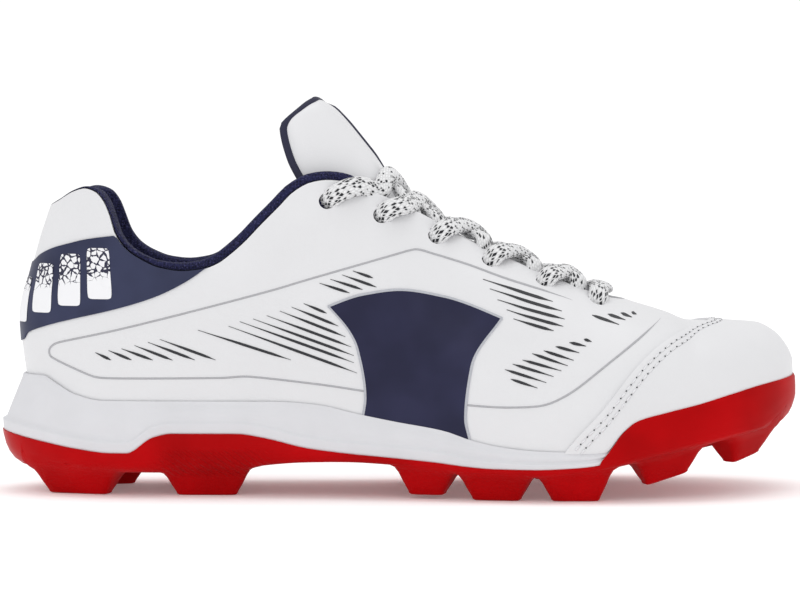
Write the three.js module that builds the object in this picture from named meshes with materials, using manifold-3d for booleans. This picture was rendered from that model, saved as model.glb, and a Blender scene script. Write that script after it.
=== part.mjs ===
// Baseball cleat for the right foot, youth size, in millimetres.
// +X runs from heel to toe, +Y to the inner side of the foot and +Z up. The origin is on the
// ground, under the centre of the shoe's bounding box. Within the tables, "at" is the share of
// the shoe's length from the back of the heel, and heights are measured from the ground.

import * as THREE from 'three';
import { mergeVertices } from 'three/addons/utils/BufferGeometryUtils.js';
import Module from 'manifold-3d';

const wasm = await Module();
wasm.setup();

// Driving sizes
const shoeLength = 246;
const ballWidth = 87;
const heelWidth = 60;
const soleHeight = 28.4; // ground to footbed, under the heel
const vampHeight = 52.5; // top of the toe box
const collarHeight = 94; // highest point of the heel collar
const tongueHeight = 122;
const bumperHeight = 35.8; // top of the red bumper at the tip of the toe
const wall = 2; // thickness of the upper
const gap = 0.3; // running clearance between neighbouring pieces
const heelTuck = 6.1; // the upper's back, ahead of the sole's
const toeTuck = 1.5; // the upper's tip, behind the sole's
const ledgeWidth = 3.5; // sole standing out beside the upper
const heelLean = 9.6; // how far the top of the heel leans forward
const bevelHeight = 3.6; // lower band of the midsole
const bevelDepth = 1.2;
const bevelShare = 0.4; // most of the midsole's side that the band takes
const lipThickness = 1;
const lipRise = 0.8;
const bumperThickness = 1.1;
const overlayThickness = 0.8;
const insoleThickness = 4;
const throatWidth = 40; // between the two eyestays, at the top holes
const throatFront = 192.5;
const rollHeight = 3.2; // padded roll above the collar's edge
const rollDepth = 5;
const liningFoot = 1.5; // lining's lower edge above the insole
const liningFront = 0.435; // share of the length where the lining ends
const liningEnd = 2.2; // depth of the lining's front ends
const tongueThickness = 3;
const tonguePad = 5; // thickness of the tongue's free top
const tongueSeat = 5.1; // tongue under the lining's front ends
const holeDiameter = 5;
const holeCount = 6;
const holePitch = 16.4;
const holeFront = 183;
const holeMargin = 6.5; // middle of a hole from the eyestay's edge
const laceWidth = 6.2;
const laceThickness = 3.6;
const laceShift = 1; // a strand leaves its hole this far ahead of the hole's middle
const laceTuck = 5; // and stops this far behind the next hole's
const laceMargin = 4; // short of the eyestay's edge
const laceSlide = 8.3; // how far the top crossing slides down the steep of the tongue
const laceDrop = 0.1; // share of the throat's half width that it needs to drop to the tongue
const crestTurn = 0.02; // turns this close to the crest take its normal
const laceSteps = 8;
const laceSides = 6;
const studWidth = 6.5;
const studFlare = 4.2; // how much wider a stud is at its root, on each side
const studRoot = 0.5; // share of the plate's thickness that a stud's root fills

// Materials
const white = { color: 0xe9e9ec, roughness: 0.5, metalness: 0 };
const foam = { color: 0xe6e7ea, roughness: 0.65, metalness: 0 };
const navy = { color: 0x262b4b, roughness: 0.55, metalness: 0 };
const mesh = { color: 0x2b2f55, roughness: 0.9, metalness: 0 };
const rubber = { color: 0xc3080f, roughness: 0.45, metalness: 0 };
const cord = { color: 0xd8d8da, roughness: 0.85, metalness: 0 };
const grey = { color: 0xb4b6bb, roughness: 0.85, metalness: 0 };

// Plan of the sole: ball mixes the heel's half width with the ball's, waist narrows the result,
// drift moves the middle line sideways as a share of the ball's width.
const plan = [
  { at: 0, ball: 0, waist: 1, drift: 0 },
  { at: 0.2, ball: 0, waist: 1, drift: 0 },
  { at: 0.3, ball: 0, waist: 0.99, drift: -0.009 },
  { at: 0.4, ball: 0.05, waist: 0.98, drift: -0.023 },
  { at: 0.5, ball: 0.3, waist: 0.97, drift: -0.035 },
  { at: 0.6, ball: 0.65, waist: 0.993, drift: -0.04 },
  { at: 0.7, ball: 0.95, waist: 1, drift: -0.026 },
  { at: 0.78, ball: 1, waist: 1, drift: -0.014 },
  { at: 0.86, ball: 1, waist: 1, drift: 0.002 },
  { at: 0.93, ball: 1, waist: 1, drift: 0.03 },
  { at: 1, ball: 1, waist: 1, drift: 0.08 },
];
const heelCap = { length: 0.2, power: 2 };
const toeCap = { length: 0.28, power: 2.2 };

// Heights along the sole, as shares of soleHeight: bed is the footbed, seam the line between
// midsole and plate, base the underside of the plate. tuck is how far the plate's underside
// draws in, as a share of soleHeight.
const sole = [
  { at: 0, bed: 1, seam: 0.669, base: 0.28, tuck: 0.3 },
  { at: 0.055, bed: 1, seam: 0.585, base: 0.262, tuck: 0.26 },
  { at: 0.104, bed: 1, seam: 0.514, base: 0.26, tuck: 0.21 },
  { at: 0.145, bed: 1, seam: 0.478, base: 0.26, tuck: 0.2 },
  { at: 0.164, bed: 1, seam: 0.478, base: 0.26, tuck: 0.2 },
  { at: 0.198, bed: 1, seam: 0.651, base: 0.26, tuck: 0.2 },
  { at: 0.22, bed: 1, seam: 0.69, base: 0.262, tuck: 0.2 },
  { at: 0.3, bed: 1, seam: 0.69, base: 0.275, tuck: 0.2 },
  { at: 0.335, bed: 1, seam: 0.645, base: 0.345, tuck: 0.15 },
  { at: 0.386, bed: 0.97, seam: 0.542, base: 0.385, tuck: 0.09 },
  { at: 0.436, bed: 0.88, seam: 0.489, base: 0.393, tuck: 0.08 },
  { at: 0.484, bed: 0.803, seam: 0.455, base: 0.377, tuck: 0.08 },
  { at: 0.546, bed: 0.715, seam: 0.409, base: 0.32, tuck: 0.08 },
  { at: 0.577, bed: 0.63, seam: 0.378, base: 0.292, tuck: 0.08 },
  { at: 0.611, bed: 0.564, seam: 0.357, base: 0.28, tuck: 0.08 },
  { at: 0.66, bed: 0.52, seam: 0.353, base: 0.268, tuck: 0.08 },
  { at: 0.711, bed: 0.51, seam: 0.373, base: 0.3, tuck: 0.09 },
  { at: 0.745, bed: 0.522, seam: 0.41, base: 0.345, tuck: 0.1 },
  { at: 0.78, bed: 0.575, seam: 0.49, base: 0.405, tuck: 0.14 },
  { at: 0.86, bed: 0.716, seam: 0.63, base: 0.56, tuck: 0.17 },
  { at: 0.963, bed: 0.86, seam: 0.775, base: 0.72, tuck: 0.2 },
  { at: 1, bed: 0.9, seam: 0.82, base: 0.8, tuck: 0.2 },
];

// Top of the midsole's lip above the footbed, as a share of soleHeight
const lip = [
  { at: 0, rise: 0.25 },
  { at: 0.031, rise: 0.25 },
  { at: 0.045, rise: 0.19 },
  { at: 0.074, rise: 0.06 },
  { at: 0.11, rise: 0 },
  { at: 1, rise: 0 },
];

// Top edge of the bumper, as a share of bumperHeight
const bumper = [
  { at: 0.742, top: 0.352 },
  { at: 0.754, top: 0.466 },
  { at: 0.767, top: 0.584 },
  { at: 0.786, top: 0.684 },
  { at: 0.825, top: 0.754 },
  { at: 0.864, top: 0.813 },
  { at: 0.904, top: 0.883 },
  { at: 0.947, top: 0.95 },
  { at: 1, top: 1 },
];

// Sections of the last: toe is a share of vampHeight, rise a share of what tongueHeight stands
// above it, square the exponent of the section's curve, ledge a share of ledgeWidth.
const lastSections = [
  { at: 0, toe: 1, rise: 1.26, square: 2.6, ledge: 1.15 },
  { at: 0.1, toe: 1, rise: 1.26, square: 2.5, ledge: 1.15 },
  { at: 0.325, toe: 1, rise: 1.26, square: 2.35, ledge: 1 },
  { at: 0.366, toe: 1, rise: 1.2, square: 2.3, ledge: 1 },
  { at: 0.411, toe: 1, rise: 1.069, square: 2.25, ledge: 0.95 },
  { at: 0.478, toe: 1, rise: 0.79, square: 2.2, ledge: 0.9 },
  { at: 0.519, toe: 1, rise: 0.6, square: 2.2, ledge: 0.86 },
  { at: 0.569, toe: 1, rise: 0.434, square: 2.15, ledge: 0.8 },
  { at: 0.638, toe: 1, rise: 0.3, square: 2.1, ledge: 0.7 },
  { at: 0.699, toe: 1, rise: 0.2, square: 2.1, ledge: 0.6 },
  { at: 0.752, toe: 1, rise: 0.12, square: 2.1, ledge: 0.55 },
  { at: 0.801, toe: 1, rise: 0.066, square: 2.15, ledge: 0.5 },
  { at: 0.862, toe: 1.005, rise: 0.006, square: 2.2, ledge: 0.5 },
  { at: 0.927, toe: 1, rise: 0, square: 2.3, ledge: 0.47 },
  { at: 0.948, toe: 0.99, rise: 0, square: 2.3, ledge: 0.45 },
  { at: 0.97, toe: 0.94, rise: 0, square: 2.3, ledge: 0.43 },
  { at: 0.987, toe: 0.85, rise: 0, square: 2.2, ledge: 0.43 },
  { at: 1, toe: 0.69, rise: 0, square: 2.2, ledge: 0.43 },
];

// Back of the heel: up is a share of collarHeight, lean a share of heelLean
const heelBack = [
  { up: 0.3, lean: 0.27 },
  { up: 0.381, lean: 0.167 },
  { up: 0.509, lean: 0.026 },
  { up: 0.562, lean: 0 },
  { up: 0.637, lean: 0.094 },
  { up: 0.704, lean: 0.26 },
  { up: 0.84, lean: 0.635 },
  { up: 0.951, lean: 1 },
  { up: 1.02, lean: 1.22 },
];
const heelReach = 0.2; // share of the length over which the lean fades out

// Collar: up is the top of the padded roll as a share of collarHeight
const collar = [
  { at: 0.06, up: 0.95, roll: 0.25 },
  { at: 0.078, up: 0.977, roll: 0.35 },
  { at: 0.098, up: 0.995, roll: 0.7 },
  { at: 0.107, up: 1.001, roll: 0.9 },
  { at: 0.124, up: 1, roll: 1 },
  { at: 0.136, up: 0.987, roll: 1 },
  { at: 0.145, up: 0.957, roll: 1 },
  { at: 0.153, up: 0.919, roll: 1 },
  { at: 0.161, up: 0.873, roll: 1 },
  { at: 0.171, up: 0.831, roll: 1 },
  { at: 0.191, up: 0.803, roll: 1 },
  { at: 0.208, up: 0.779, roll: 1 },
  { at: 0.238, up: 0.762, roll: 1 },
  { at: 0.257, up: 0.768, roll: 1 },
  { at: 0.274, up: 0.784, roll: 1 },
  { at: 0.29, up: 0.815, roll: 1 },
  { at: 0.309, up: 0.859, roll: 1 },
  { at: 0.326, up: 0.906, roll: 1 },
  { at: 0.348, up: 0.964, roll: 1 },
  { at: 0.369, up: 1.019, roll: 1 },
  { at: 0.39, up: 1.047, roll: 1 },
  { at: 0.411, up: 1.054, roll: 1 },
  { at: 0.424, up: 1.052, roll: 1 },
  { at: 0.46, up: 1.03, roll: 0.8 },
];
const collarFront = { from: 0.42, to: 0.47 }; // where the collar's edge becomes the eyestay's

// Throat: half of its width as a share of half of throatWidth
const throat = [
  { at: 0.42, open: 1.03 },
  { at: 0.455, open: 0.98 },
  { at: 0.495, open: 0.88 },
  { at: 0.545, open: 0.66 },
  { at: 0.6, open: 0.53 },
  { at: 0.66, open: 0.49 },
  { at: 0.74, open: 0.46 },
  { at: 0.79, open: 0.45 },
];
const throatRound = 9; // length of the round front end

// Tongue, from its top edge to its front end: turn is its half breadth round the last
const tongue = [
  { down: 0, turn: 0.43 },
  { down: 0.03, turn: 0.54 },
  { down: 0.1, turn: 0.62 },
  { down: 0.25, turn: 0.62 },
  { down: 0.5, turn: 0.5 },
  { down: 0.8, turn: 0.34 },
  { down: 1, turn: 0.24 },
];
const tongueTop = 102.5;
const tongueFront = 198;
const tongueSlant = 13; // how far the corners of the tongue's top lie behind its middle
const tongueColumns = 16;
const tongueRows = 5;

// Edge of the toe guard, seen from the side: at, and up as a share of vampHeight
const guardEdge = [
  { at: 0.68, up: 0.1 },
  { at: 0.695, up: 0.297 },
  { at: 0.728, up: 0.438 },
  { at: 0.763, up: 0.592 },
  { at: 0.802, up: 0.76 },
  { at: 0.84, up: 0.9 },
  { at: 0.875, up: 0.972 },
  { at: 0.905, up: 1.02 },
  { at: 0.915, up: 1.2 },
];

// Heel panel, seen from the side: up is a share of collarHeight
const panelEdge = [
  { at: -0.02, up: 0.495 },
  { at: 0.038, up: 0.512 },
  { at: 0.066, up: 0.552 },
  { at: 0.122, up: 0.587 },
  { at: 0.181, up: 0.627 },
  { at: 0.22, up: 0.663 },
  { at: 0.252, up: 0.723 },
  { at: 0.27, up: 0.78 },
  { at: 0.27, up: 1.1 },
  { at: 0.165, up: 1.1 },
  { at: 0.157, up: 0.865 },
  { at: 0.15, up: 0.841 },
  { at: 0.115, up: 0.83 },
  { at: 0.073, up: 0.801 },
  { at: 0.051, up: 0.757 },
  { at: 0.03, up: 0.72 },
  { at: -0.02, up: 0.7 },
];

// Saddle panel of the midfoot, seen from the side: up is a share of vampHeight
const saddleEdge = [
  { at: 0.448, up: 0.2 },
  { at: 0.46, up: 0.52 },
  { at: 0.45, up: 0.8 },
  { at: 0.415, up: 1.1 },
  { at: 0.5, up: 1.2 },
  { at: 0.62, up: 1.04 },
  { at: 0.585, up: 0.78 },
  { at: 0.578, up: 0.52 },
  { at: 0.598, up: 0.2 },
];

// Studs: from and to are the ends of the tread face as shares of the length, rest its height
// above the ground, tip its slope in degrees, inner is 1 on the inner side and -1 on the outer.
const studs = [
  { inner: -1, from: 0.069, to: 0.139, rest: 0, tip: 0 },
  { inner: -1, from: 0.225, to: 0.295, rest: 0, tip: 0 },
  { inner: -1, from: 0.512, to: 0.552, rest: 1.9, tip: 0 },
  { inner: -1, from: 0.592, to: 0.648, rest: 0, tip: 0 },
  { inner: -1, from: 0.685, to: 0.737, rest: 0, tip: 0 },
  { inner: -1, from: 0.796, to: 0.847, rest: 8, tip: 19 },
  { inner: -1, from: 0.902, to: 0.946, rest: 12.9, tip: 17 },
  { inner: 1, from: 0.085, to: 0.155, rest: 0, tip: 0 },
  { inner: 1, from: 0.205, to: 0.275, rest: 0, tip: 0 },
  { inner: 1, from: 0.5, to: 0.54, rest: 1.9, tip: 0 },
  { inner: 1, from: 0.58, to: 0.636, rest: 0, tip: 0 },
  { inner: 1, from: 0.672, to: 0.724, rest: 0, tip: 0 },
  { inner: 1, from: 0.78, to: 0.83, rest: 7, tip: 18 },
  { inner: 1, from: 0.872, to: 0.914, rest: 11.9, tip: 16 },
];

// A smooth curve through one column of a table, without overshoot
function curve(table, column, key = 'at') {
  const x = table.map((row) => row[key]);
  const y = table.map((row) => row[column]);
  const last = x.length - 1;
  const slope = (i) => (y[i + 1] - y[i]) / (x[i + 1] - x[i]);
  const tangent = x.map((_, i) => {
    if (i === 0) return slope(0);
    if (i === last) return slope(last - 1);
    const before = slope(i - 1);
    const after = slope(i);
    return before * after <= 0 ? 0 : (2 * before * after) / (before + after);
  });
  return (at) => {
    if (at <= x[0]) return y[0];
    if (at >= x[last]) return y[last];
    const i = x.findIndex((value) => value > at) - 1;
    const span = x[i + 1] - x[i];
    const t = (at - x[i]) / span;
    const rest = 1 - t;
    return (
      y[i] * (1 + 2 * t) * rest * rest +
      y[i + 1] * t * t * (3 - 2 * t) +
      span * t * rest * (tangent[i] * rest - tangent[i + 1] * t)
    );
  };
}

const ballShare = curve(plan, 'ball');
const waist = curve(plan, 'waist');
const drift = curve(plan, 'drift');
const bedShare = curve(sole, 'bed');
const seamShare = curve(sole, 'seam');
const baseShare = curve(sole, 'base');
const tuckShare = curve(sole, 'tuck');
const lipShare = curve(lip, 'rise');
const bumperShare = curve(bumper, 'top');
const toeShare = curve(lastSections, 'toe');
const riseShare = curve(lastSections, 'rise');
const square = curve(lastSections, 'square');
const ledge = curve(lastSections, 'ledge');
const leanShare = curve(heelBack, 'lean', 'up');
const collarUp = curve(collar, 'up');
const rollShare = curve(collar, 'roll');
const throatOpen = curve(throat, 'open');
const tongueTurn = curve(tongue, 'turn', 'down');

const mix = (from, to, share) => from + (to - from) * share;
const smooth = (from, to, value) => THREE.MathUtils.smoothstep(value, from, to);

const middle = (x) => drift(x / shoeLength) * ballWidth;
const bed = (x) => bedShare(x / shoeLength) * soleHeight;
const seam = (x) => seamShare(x / shoeLength) * soleHeight;
const base = (x) => baseShare(x / shoeLength) * soleHeight;
const lipTop = (x) => bed(x) + lipRise + lipShare(x / shoeLength) * soleHeight;
const bumperTop = (x) => bumperShare(x / shoeLength) * bumperHeight;
const crest = (x) => {
  const at = x / shoeLength;
  return toeShare(at) * vampHeight + riseShare(at) * (tongueHeight - vampHeight);
};

function halfWidth(x) {
  const at = x / shoeLength;
  return (mix(heelWidth, ballWidth, ballShare(at)) / 2) * waist(at);
}

// Rounding of both ends of a plan outline, 0 at the tips and 1 between the caps
function roundEnds(share) {
  const end = (distance, cap) => {
    const left = 1 - Math.min(distance / cap.length, 1);
    return (1 - left ** cap.power) ** (1 / cap.power);
  };
  return end(share, heelCap) * end(1 - share, toeCap);
}

// Where the midsole draws in behind the bumper, as shares of the length
const bumperStart = {
  lip: { from: 0.7, to: 0.74 },
  outline: { from: 0.735, to: 0.765 },
  inside: { from: 0.745, to: 0.775 },
};
const bumperSeat = 0.4; // the midsole's edge inside the last there
const plateFoot = 0.4; // share of the plate's thickness that the bumper reaches down to

// Stations along the shoe, close together at its ends and at every sharp change of a table
const stationCount = 22;
const stationRoom = 0.012; // least share of the length between two stations
const tipRoom = 0.0001; // and next to the tips
const marks = [0.164, 0.198, bumper[0].at, bumper[1].at, bumperStart.inside.to];
const collarStart = 0.1; // behind it the collar's edge is nearly level
const throatMarks = [0, 0.06, 0.3, 0.75].map((step) => throatFront - step * throatRound);
const shareOf = (turn) => (1 - Math.cos(Math.PI * turn)) / 2;
const lastShare = (x) => (x - heelTuck) / (shoeLength - heelTuck - toeTuck);

function stations(extra) {
  const found = [0, 1, ...extra];
  const add = (share, room) => {
    if (found.every((other) => Math.abs(other - share) > room)) found.push(share);
  };
  for (let i = 1; i < stationCount; i += 1) add(shareOf(i / stationCount), stationRoom);
  add(shareOf(0.5 / stationCount), tipRoom);
  add(shareOf(1 - 0.5 / stationCount), tipRoom);
  return found.sort((a, b) => a - b);
}
const steep = collar.filter(({ at }) => at > collarStart);
const collarMarks = steep.map(({ at }) => lastShare(at * shoeLength));
const soleShares = stations(marks);
const upperShares = stations([
  ...collarMarks,
  ...throatMarks.map(lastShare),
  bumperStart.inside.to,
]);

// A point of the sole's outline, drawn in by inset
function solePoint(share, side, inset, height) {
  const x = inset + (shoeLength - 2 * inset) * share;
  const y = middle(x) + side * (halfWidth(x) - inset) * roundEnds(share);
  return new THREE.Vector3(x, y, height(x));
}

// A point of the last: turn is 0 on the crest and 1 at the footbed
function lastPoint(share, side, turn) {
  const station = heelTuck + (shoeLength - heelTuck - toeTuck) * share;
  const half = lastHalf(station, share);
  const power = 2 / square(station / shoeLength);
  const low = bed(station) + gap;
  const angle = (turn * Math.PI) / 2;
  const y = middle(station) + side * half * Math.sin(angle) ** power;
  const z = low + (crest(station) - low) * Math.max(Math.cos(angle), 0) ** power;
  return new THREE.Vector3(station + heelShift(share, z), y, z);
}

// The same with a signed turn: negative on the outer side
function signedPoint(share, signed) {
  return lastPoint(share, signed < 0 ? -1 : 1, Math.abs(signed));
}

function lastHalf(station, share) {
  return (halfWidth(station) - ledge(station / shoeLength) * ledgeWidth) * roundEnds(share);
}

function heelShift(share, z) {
  const fade = Math.max(1 - share / heelReach, 0) ** 2;
  return leanShare(z / collarHeight) * heelLean * fade;
}

// The turn at which the last reaches a height, at one station
function turnAtHeight(share, z) {
  const station = heelTuck + (shoeLength - heelTuck - toeTuck) * share;
  const low = bed(station) + gap;
  const up = THREE.MathUtils.clamp((z - low) / (crest(station) - low), 0, 1);
  return Math.acos(up ** (square(station / shoeLength) / 2)) / (Math.PI / 2);
}

// The turn at which the last reaches a breadth from its middle line, at one station
function turnAtBreadth(share, breadth) {
  const station = heelTuck + (shoeLength - heelTuck - toeTuck) * share;
  const sine = (breadth / lastHalf(station, share)) ** (square(station / shoeLength) / 2);
  return Math.asin(Math.min(sine, 1)) / (Math.PI / 2);
}

// Height of the upper's edge round the collar, which follows the heel's lean
function collarEdge(share) {
  const station = heelTuck + (shoeLength - heelTuck - toeTuck) * share;
  let z = collarHeight;
  for (let round = 0; round < 8; round += 1) {
    const at = (station + heelShift(share, z)) / shoeLength;
    z = collarUp(at) * collarHeight - rollShare(at) * rollHeight;
  }
  return z;
}

// The turn of the upper's edge: collar behind, throat ahead of it, 0 where the vamp is closed
function edgeTurn(share) {
  const station = heelTuck + (shoeLength - heelTuck - toeTuck) * share;
  if (station >= throatFront - 1e-6) return 0;
  const at = station / shoeLength;
  const left = 1 - Math.min((throatFront - station) / throatRound, 1);
  const half = (throatOpen(at) * throatWidth * Math.sqrt(1 - left * left)) / 2;
  const throatTurn = turnAtBreadth(share, half);
  const ahead = smooth(collarFront.from, collarFront.to, at);
  if (ahead === 1) return throatTurn;
  return mix(turnAtHeight(share, collarEdge(share)), throatTurn, ahead);
}

// An open surface made of columns of points: vertices are merged and get a normal each
const weld = 5e-4;

function surfaceOf(strips) {
  const points = [];
  const index = new Map();
  const place = (point) => {
    const key = [point.x, point.y, point.z].map((value) => Math.round(value / weld)).join();
    if (!index.has(key)) {
      index.set(key, points.length);
      points.push(point);
    }
    return index.get(key);
  };
  const faces = [];
  const add = (a, b, c) => {
    if (a !== b && b !== c && c !== a) faces.push([a, b, c]);
  };
  strips.forEach(({ columns, flip }) => {
    const ids = columns.map((column) => column.map(place));
    for (let i = 0; i + 1 < ids.length; i += 1) {
      for (let j = 0; j + 1 < ids[i].length; j += 1) {
        const [a, b, c, d] = [ids[i][j], ids[i + 1][j], ids[i + 1][j + 1], ids[i][j + 1]];
        if (flip) {
          add(a, c, b);
          add(a, d, c);
        } else {
          add(a, b, c);
          add(a, c, d);
        }
      }
    }
  });
  const normals = points.map(() => new THREE.Vector3());
  faces.forEach(([a, b, c]) => {
    const ab = points[b].clone().sub(points[a]);
    const ac = points[c].clone().sub(points[a]);
    const normal = ab.cross(ac);
    [a, b, c].forEach((id) => normals[id].add(normal));
  });
  normals.forEach((normal) => normal.normalize());
  return { points, faces, normals };
}

function geometryOf(points, faces) {
  const geometry = new THREE.BufferGeometry();
  const flat = points.flatMap((point) => [point.x, point.y, point.z]);
  geometry.setAttribute('position', new THREE.Float32BufferAttribute(flat, 3));
  geometry.setIndex(faces.flat());
  return geometry;
}

// A closed wall between two offsets from a surface; each offset is a number or a function
function wallOf(surface, low, high) {
  const { points, faces, normals } = surface;
  const count = points.length;
  const offset = (value) => (point, id) =>
    point.clone().addScaledVector(normals[id], typeof value === 'function' ? value(point) : value);
  const all = [...points.map(offset(high)), ...points.map(offset(low))];
  const closed = faces.flatMap(([a, b, c]) => [
    [a, b, c],
    [a + count, c + count, b + count],
  ]);
  const edges = new Set(faces.flatMap(([a, b, c]) => [`${a},${b}`, `${b},${c}`, `${c},${a}`]));
  edges.forEach((edge) => {
    const [a, b] = edge.split(',').map(Number);
    if (edges.has(`${b},${a}`)) return;
    closed.push([b, a, a + count], [b, a + count, b + count]);
  });
  return geometryOf(all, closed);
}

// A closed solid through rings, each a list of points in step with the next, its two ends
// bridged from side to side
function loftOf(rings) {
  const size = rings[0].length;
  const points = rings.flat();
  const faces = [];
  for (let r = 0; r + 1 < rings.length; r += 1) {
    for (let i = 0; i < size; i += 1) {
      const next = (i + 1) % size;
      const [a, b] = [r * size + i, r * size + next];
      const [c, d] = [b + size, a + size];
      faces.push([a, b, c], [a, c, d]);
    }
  }
  const bridge = (start, flip) => {
    for (let i = 0; i + 1 < size / 2; i += 1) {
      const [a, b] = [start + i, start + i + 1];
      const [c, d] = [start + size - 1 - i, start + size - 2 - i];
      const quad = [
        [a, d, b],
        [a, c, d],
      ];
      quad.forEach((face) => faces.push(flip ? [face[0], face[2], face[1]] : face));
    }
  };
  bridge(0, false);
  bridge((rings.length - 1) * size, true);
  return mergeVertices(geometryOf(points, faces), 1e-3);
}

// A closed solid through closed rings; face holds the ring's flat outline, to cap both ends
function tubeOf(rings, face) {
  const size = face.length;
  const points = rings.flat();
  const faces = [];
  for (let r = 0; r + 1 < rings.length; r += 1) {
    for (let i = 0; i < size; i += 1) {
      const next = (i + 1) % size;
      const [a, b] = [r * size + i, r * size + next];
      faces.push([a, b, b + size], [a, b + size, a + size]);
    }
  }
  const end = (rings.length - 1) * size;
  THREE.ShapeUtils.triangulateShape(face, []).forEach(([a, b, c]) => {
    faces.push([a, c, b], [a + end, b + end, c + end]);
  });
  return geometryOf(points, facingOut(points, faces));
}

// The faces of a closed solid, turned over where they point inwards
function facingOut(points, faces) {
  const wedge = ([a, b, c]) => points[a].dot(points[b].clone().cross(points[c]));
  const total = faces.reduce((sum, face) => sum + wedge(face), 0);
  return total < 0 ? faces.map(([a, b, c]) => [a, c, b]) : faces;
}

function lastNormal(share, side, turn) {
  const step = 0.002;
  const here = lastPoint(share, side, turn);
  const along = lastPoint(share + step, side, turn).sub(here);
  const down = lastPoint(share, side, turn + step).sub(here);
  const normal = along.cross(down).multiplyScalar(side).normalize();
  return share === 0 ? normal.setY(0).normalize() : normal;
}

function solidOf(geometry) {
  const bare = geometry.clone();
  bare.deleteAttribute('normal');
  bare.deleteAttribute('uv');
  const merged = mergeVertices(bare, 1e-3);
  return new wasm.Manifold(
    new wasm.Mesh({
      numProp: 3,
      vertProperties: new Float32Array(merged.attributes.position.array),
      triVerts: new Uint32Array(merged.index.array),
    }),
  );
}

function geometryOfSolid(solid) {
  const { vertProperties, triVerts } = solid.getMesh();
  const geometry = new THREE.BufferGeometry();
  geometry.setAttribute('position', new THREE.BufferAttribute(vertProperties, 3));
  geometry.setIndex(new THREE.BufferAttribute(triVerts, 1));
  return geometry;
}

const shoe = new THREE.Group();

function addPiece(name, geometry, finish) {
  const bare = geometry.index ? geometry : mergeVertices(geometry);
  bare.computeVertexNormals();
  const piece = new THREE.Mesh(bare, new THREE.MeshStandardMaterial(finish));
  piece.name = name;
  shoe.add(piece);
}

// A ring round the shoe: outer side from heel to toe, then inner side back again
function ring(point) {
  const outer = soleShares.map((share) => point(share, -1));
  const inner = soleShares.map((share) => point(share, 1)).reverse();
  return [...outer, ...inner];
}

// The last's outline at a height, moved outwards by out
function lastRing(height, out) {
  const flat = (share, side) => {
    const station = heelTuck + (shoeLength - heelTuck - toeTuck) * share;
    const z = height(station);
    return lastPoint(share, side, turnAtHeight(share, z)).setZ(z);
  };
  const points = ring(flat);
  const count = points.length;
  return points.map((point, i) => {
    let before = points[(i + count - 1) % count];
    let after = points[(i + 1) % count];
    if (before.distanceTo(point) < 1e-4) before = points[(i + count - 2) % count];
    if (after.distanceTo(point) < 1e-4) after = points[(i + 2) % count];
    const along = after.clone().sub(before).setZ(0).normalize();
    return point.clone().add(new THREE.Vector3(along.y, -along.x, 0).multiplyScalar(out(point.x)));
  });
}

// Upper
const rowCount = 7;

function lastStrip(side, fromTurn, toTurn, rows, used = upperShares) {
  const columns = used.map((share) => {
    const [top, foot] = [fromTurn(share), toTurn(share)];
    const column = [];
    for (let j = 0; j <= rows; j += 1) column.push(lastPoint(share, side, mix(top, foot, j / rows)));
    return column;
  });
  return { columns, flip: side < 0 };
}

const lastSurface = surfaceOf([-1, 1].map((side) => lastStrip(side, edgeTurn, () => 1, rowCount)));

// The turn at a distance from the upper's edge, towards the sole where it is positive
function turnFromEdge(share, side, distance) {
  const edge = edgeTurn(share);
  const start = lastPoint(share, side, edge);
  let near = edge;
  let far = distance > 0 ? 1 : -1;
  for (let round = 0; round < 30; round += 1) {
    const turn = (near + far) / 2;
    if (signedPoint(share, side * turn).distanceTo(start) < Math.abs(distance)) near = turn;
    else far = turn;
  }
  return near;
}

function holeCutter(at, side) {
  const share = lastShare(at);
  const turn = turnFromEdge(share, side, holeMargin);
  const centre = lastPoint(share, side, turn);
  const normal = lastNormal(share, side, turn);
  const bore = new THREE.CylinderGeometry(holeDiameter / 2, holeDiameter / 2, wall * 6, 8);
  bore.applyQuaternion(new THREE.Quaternion().setFromUnitVectors(new THREE.Vector3(0, 1, 0), normal));
  bore.translate(centre.x, centre.y, centre.z);
  return bore;
}

const holes = [];
for (let i = 0; i < holeCount; i += 1) {
  const at = holeFront - i * holePitch;
  holes.push({ outer: holeCutter(at, -1), inner: holeCutter(at, 1) });
}

function addUpper() {
  let shell = solidOf(wallOf(lastSurface, -wall, 0));
  holes.forEach(({ outer, inner }) => {
    shell = shell.subtract(solidOf(outer)).subtract(solidOf(inner));
  });
  addPiece('upper', geometryOfSolid(shell), white);
}

// Midsole: rings from the seam up the side, over the lip and down to the footbed
function midsoleRings(grow) {
  const start = ({ from, to }) => (x) => smooth(from, to, x / shoeLength);
  const inBumper = start(bumperStart.outline);
  const behindLip = start(bumperStart.inside);
  const lipFade = start(bumperStart.lip);
  const inset = (outside) => (share) => {
    const x = shoeLength * share;
    return mix(outside, toeTuck + bumperSeat, inBumper(x)) - grow;
  };
  const bevel = (x) => Math.min(bevelHeight, (bed(x) - seam(x)) * bevelShare);
  const side = (outside, height) =>
    ring((share, hand) => solePoint(share, hand, inset(outside)(share), height));
  const low = (x) => seam(x) + (grow > 0 ? gap / 2 : gap);
  const out = (x) => mix(gap + lipThickness, -bumperSeat, behindLip(x)) + grow;
  const top = (x) => mix(lipTop(x), bed(x), lipFade(x)) + grow;
  const inner = (x) => mix(gap, -bumperSeat - gap, behindLip(x));
  const rings = [
    side(bevelDepth, low),
    side(0, (x) => seam(x) + bevel(x)),
    lastRing(top, out),
  ];
  if (grow > 0) return rings;
  return [...rings, lastRing(top, inner), lastRing((x) => bed(x), inner)];
}

function addMidsole() {
  addPiece('midsole', loftOf(midsoleRings(0)), foam);
}

function addInsole() {
  const edge = () => -(wall + 2 * gap);
  const low = lastRing((x) => bed(x) + gap, edge);
  const high = lastRing((x) => bed(x) + gap + insoleThickness, edge);
  addPiece('insole', loftOf([low, high]), grey);
}

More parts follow.
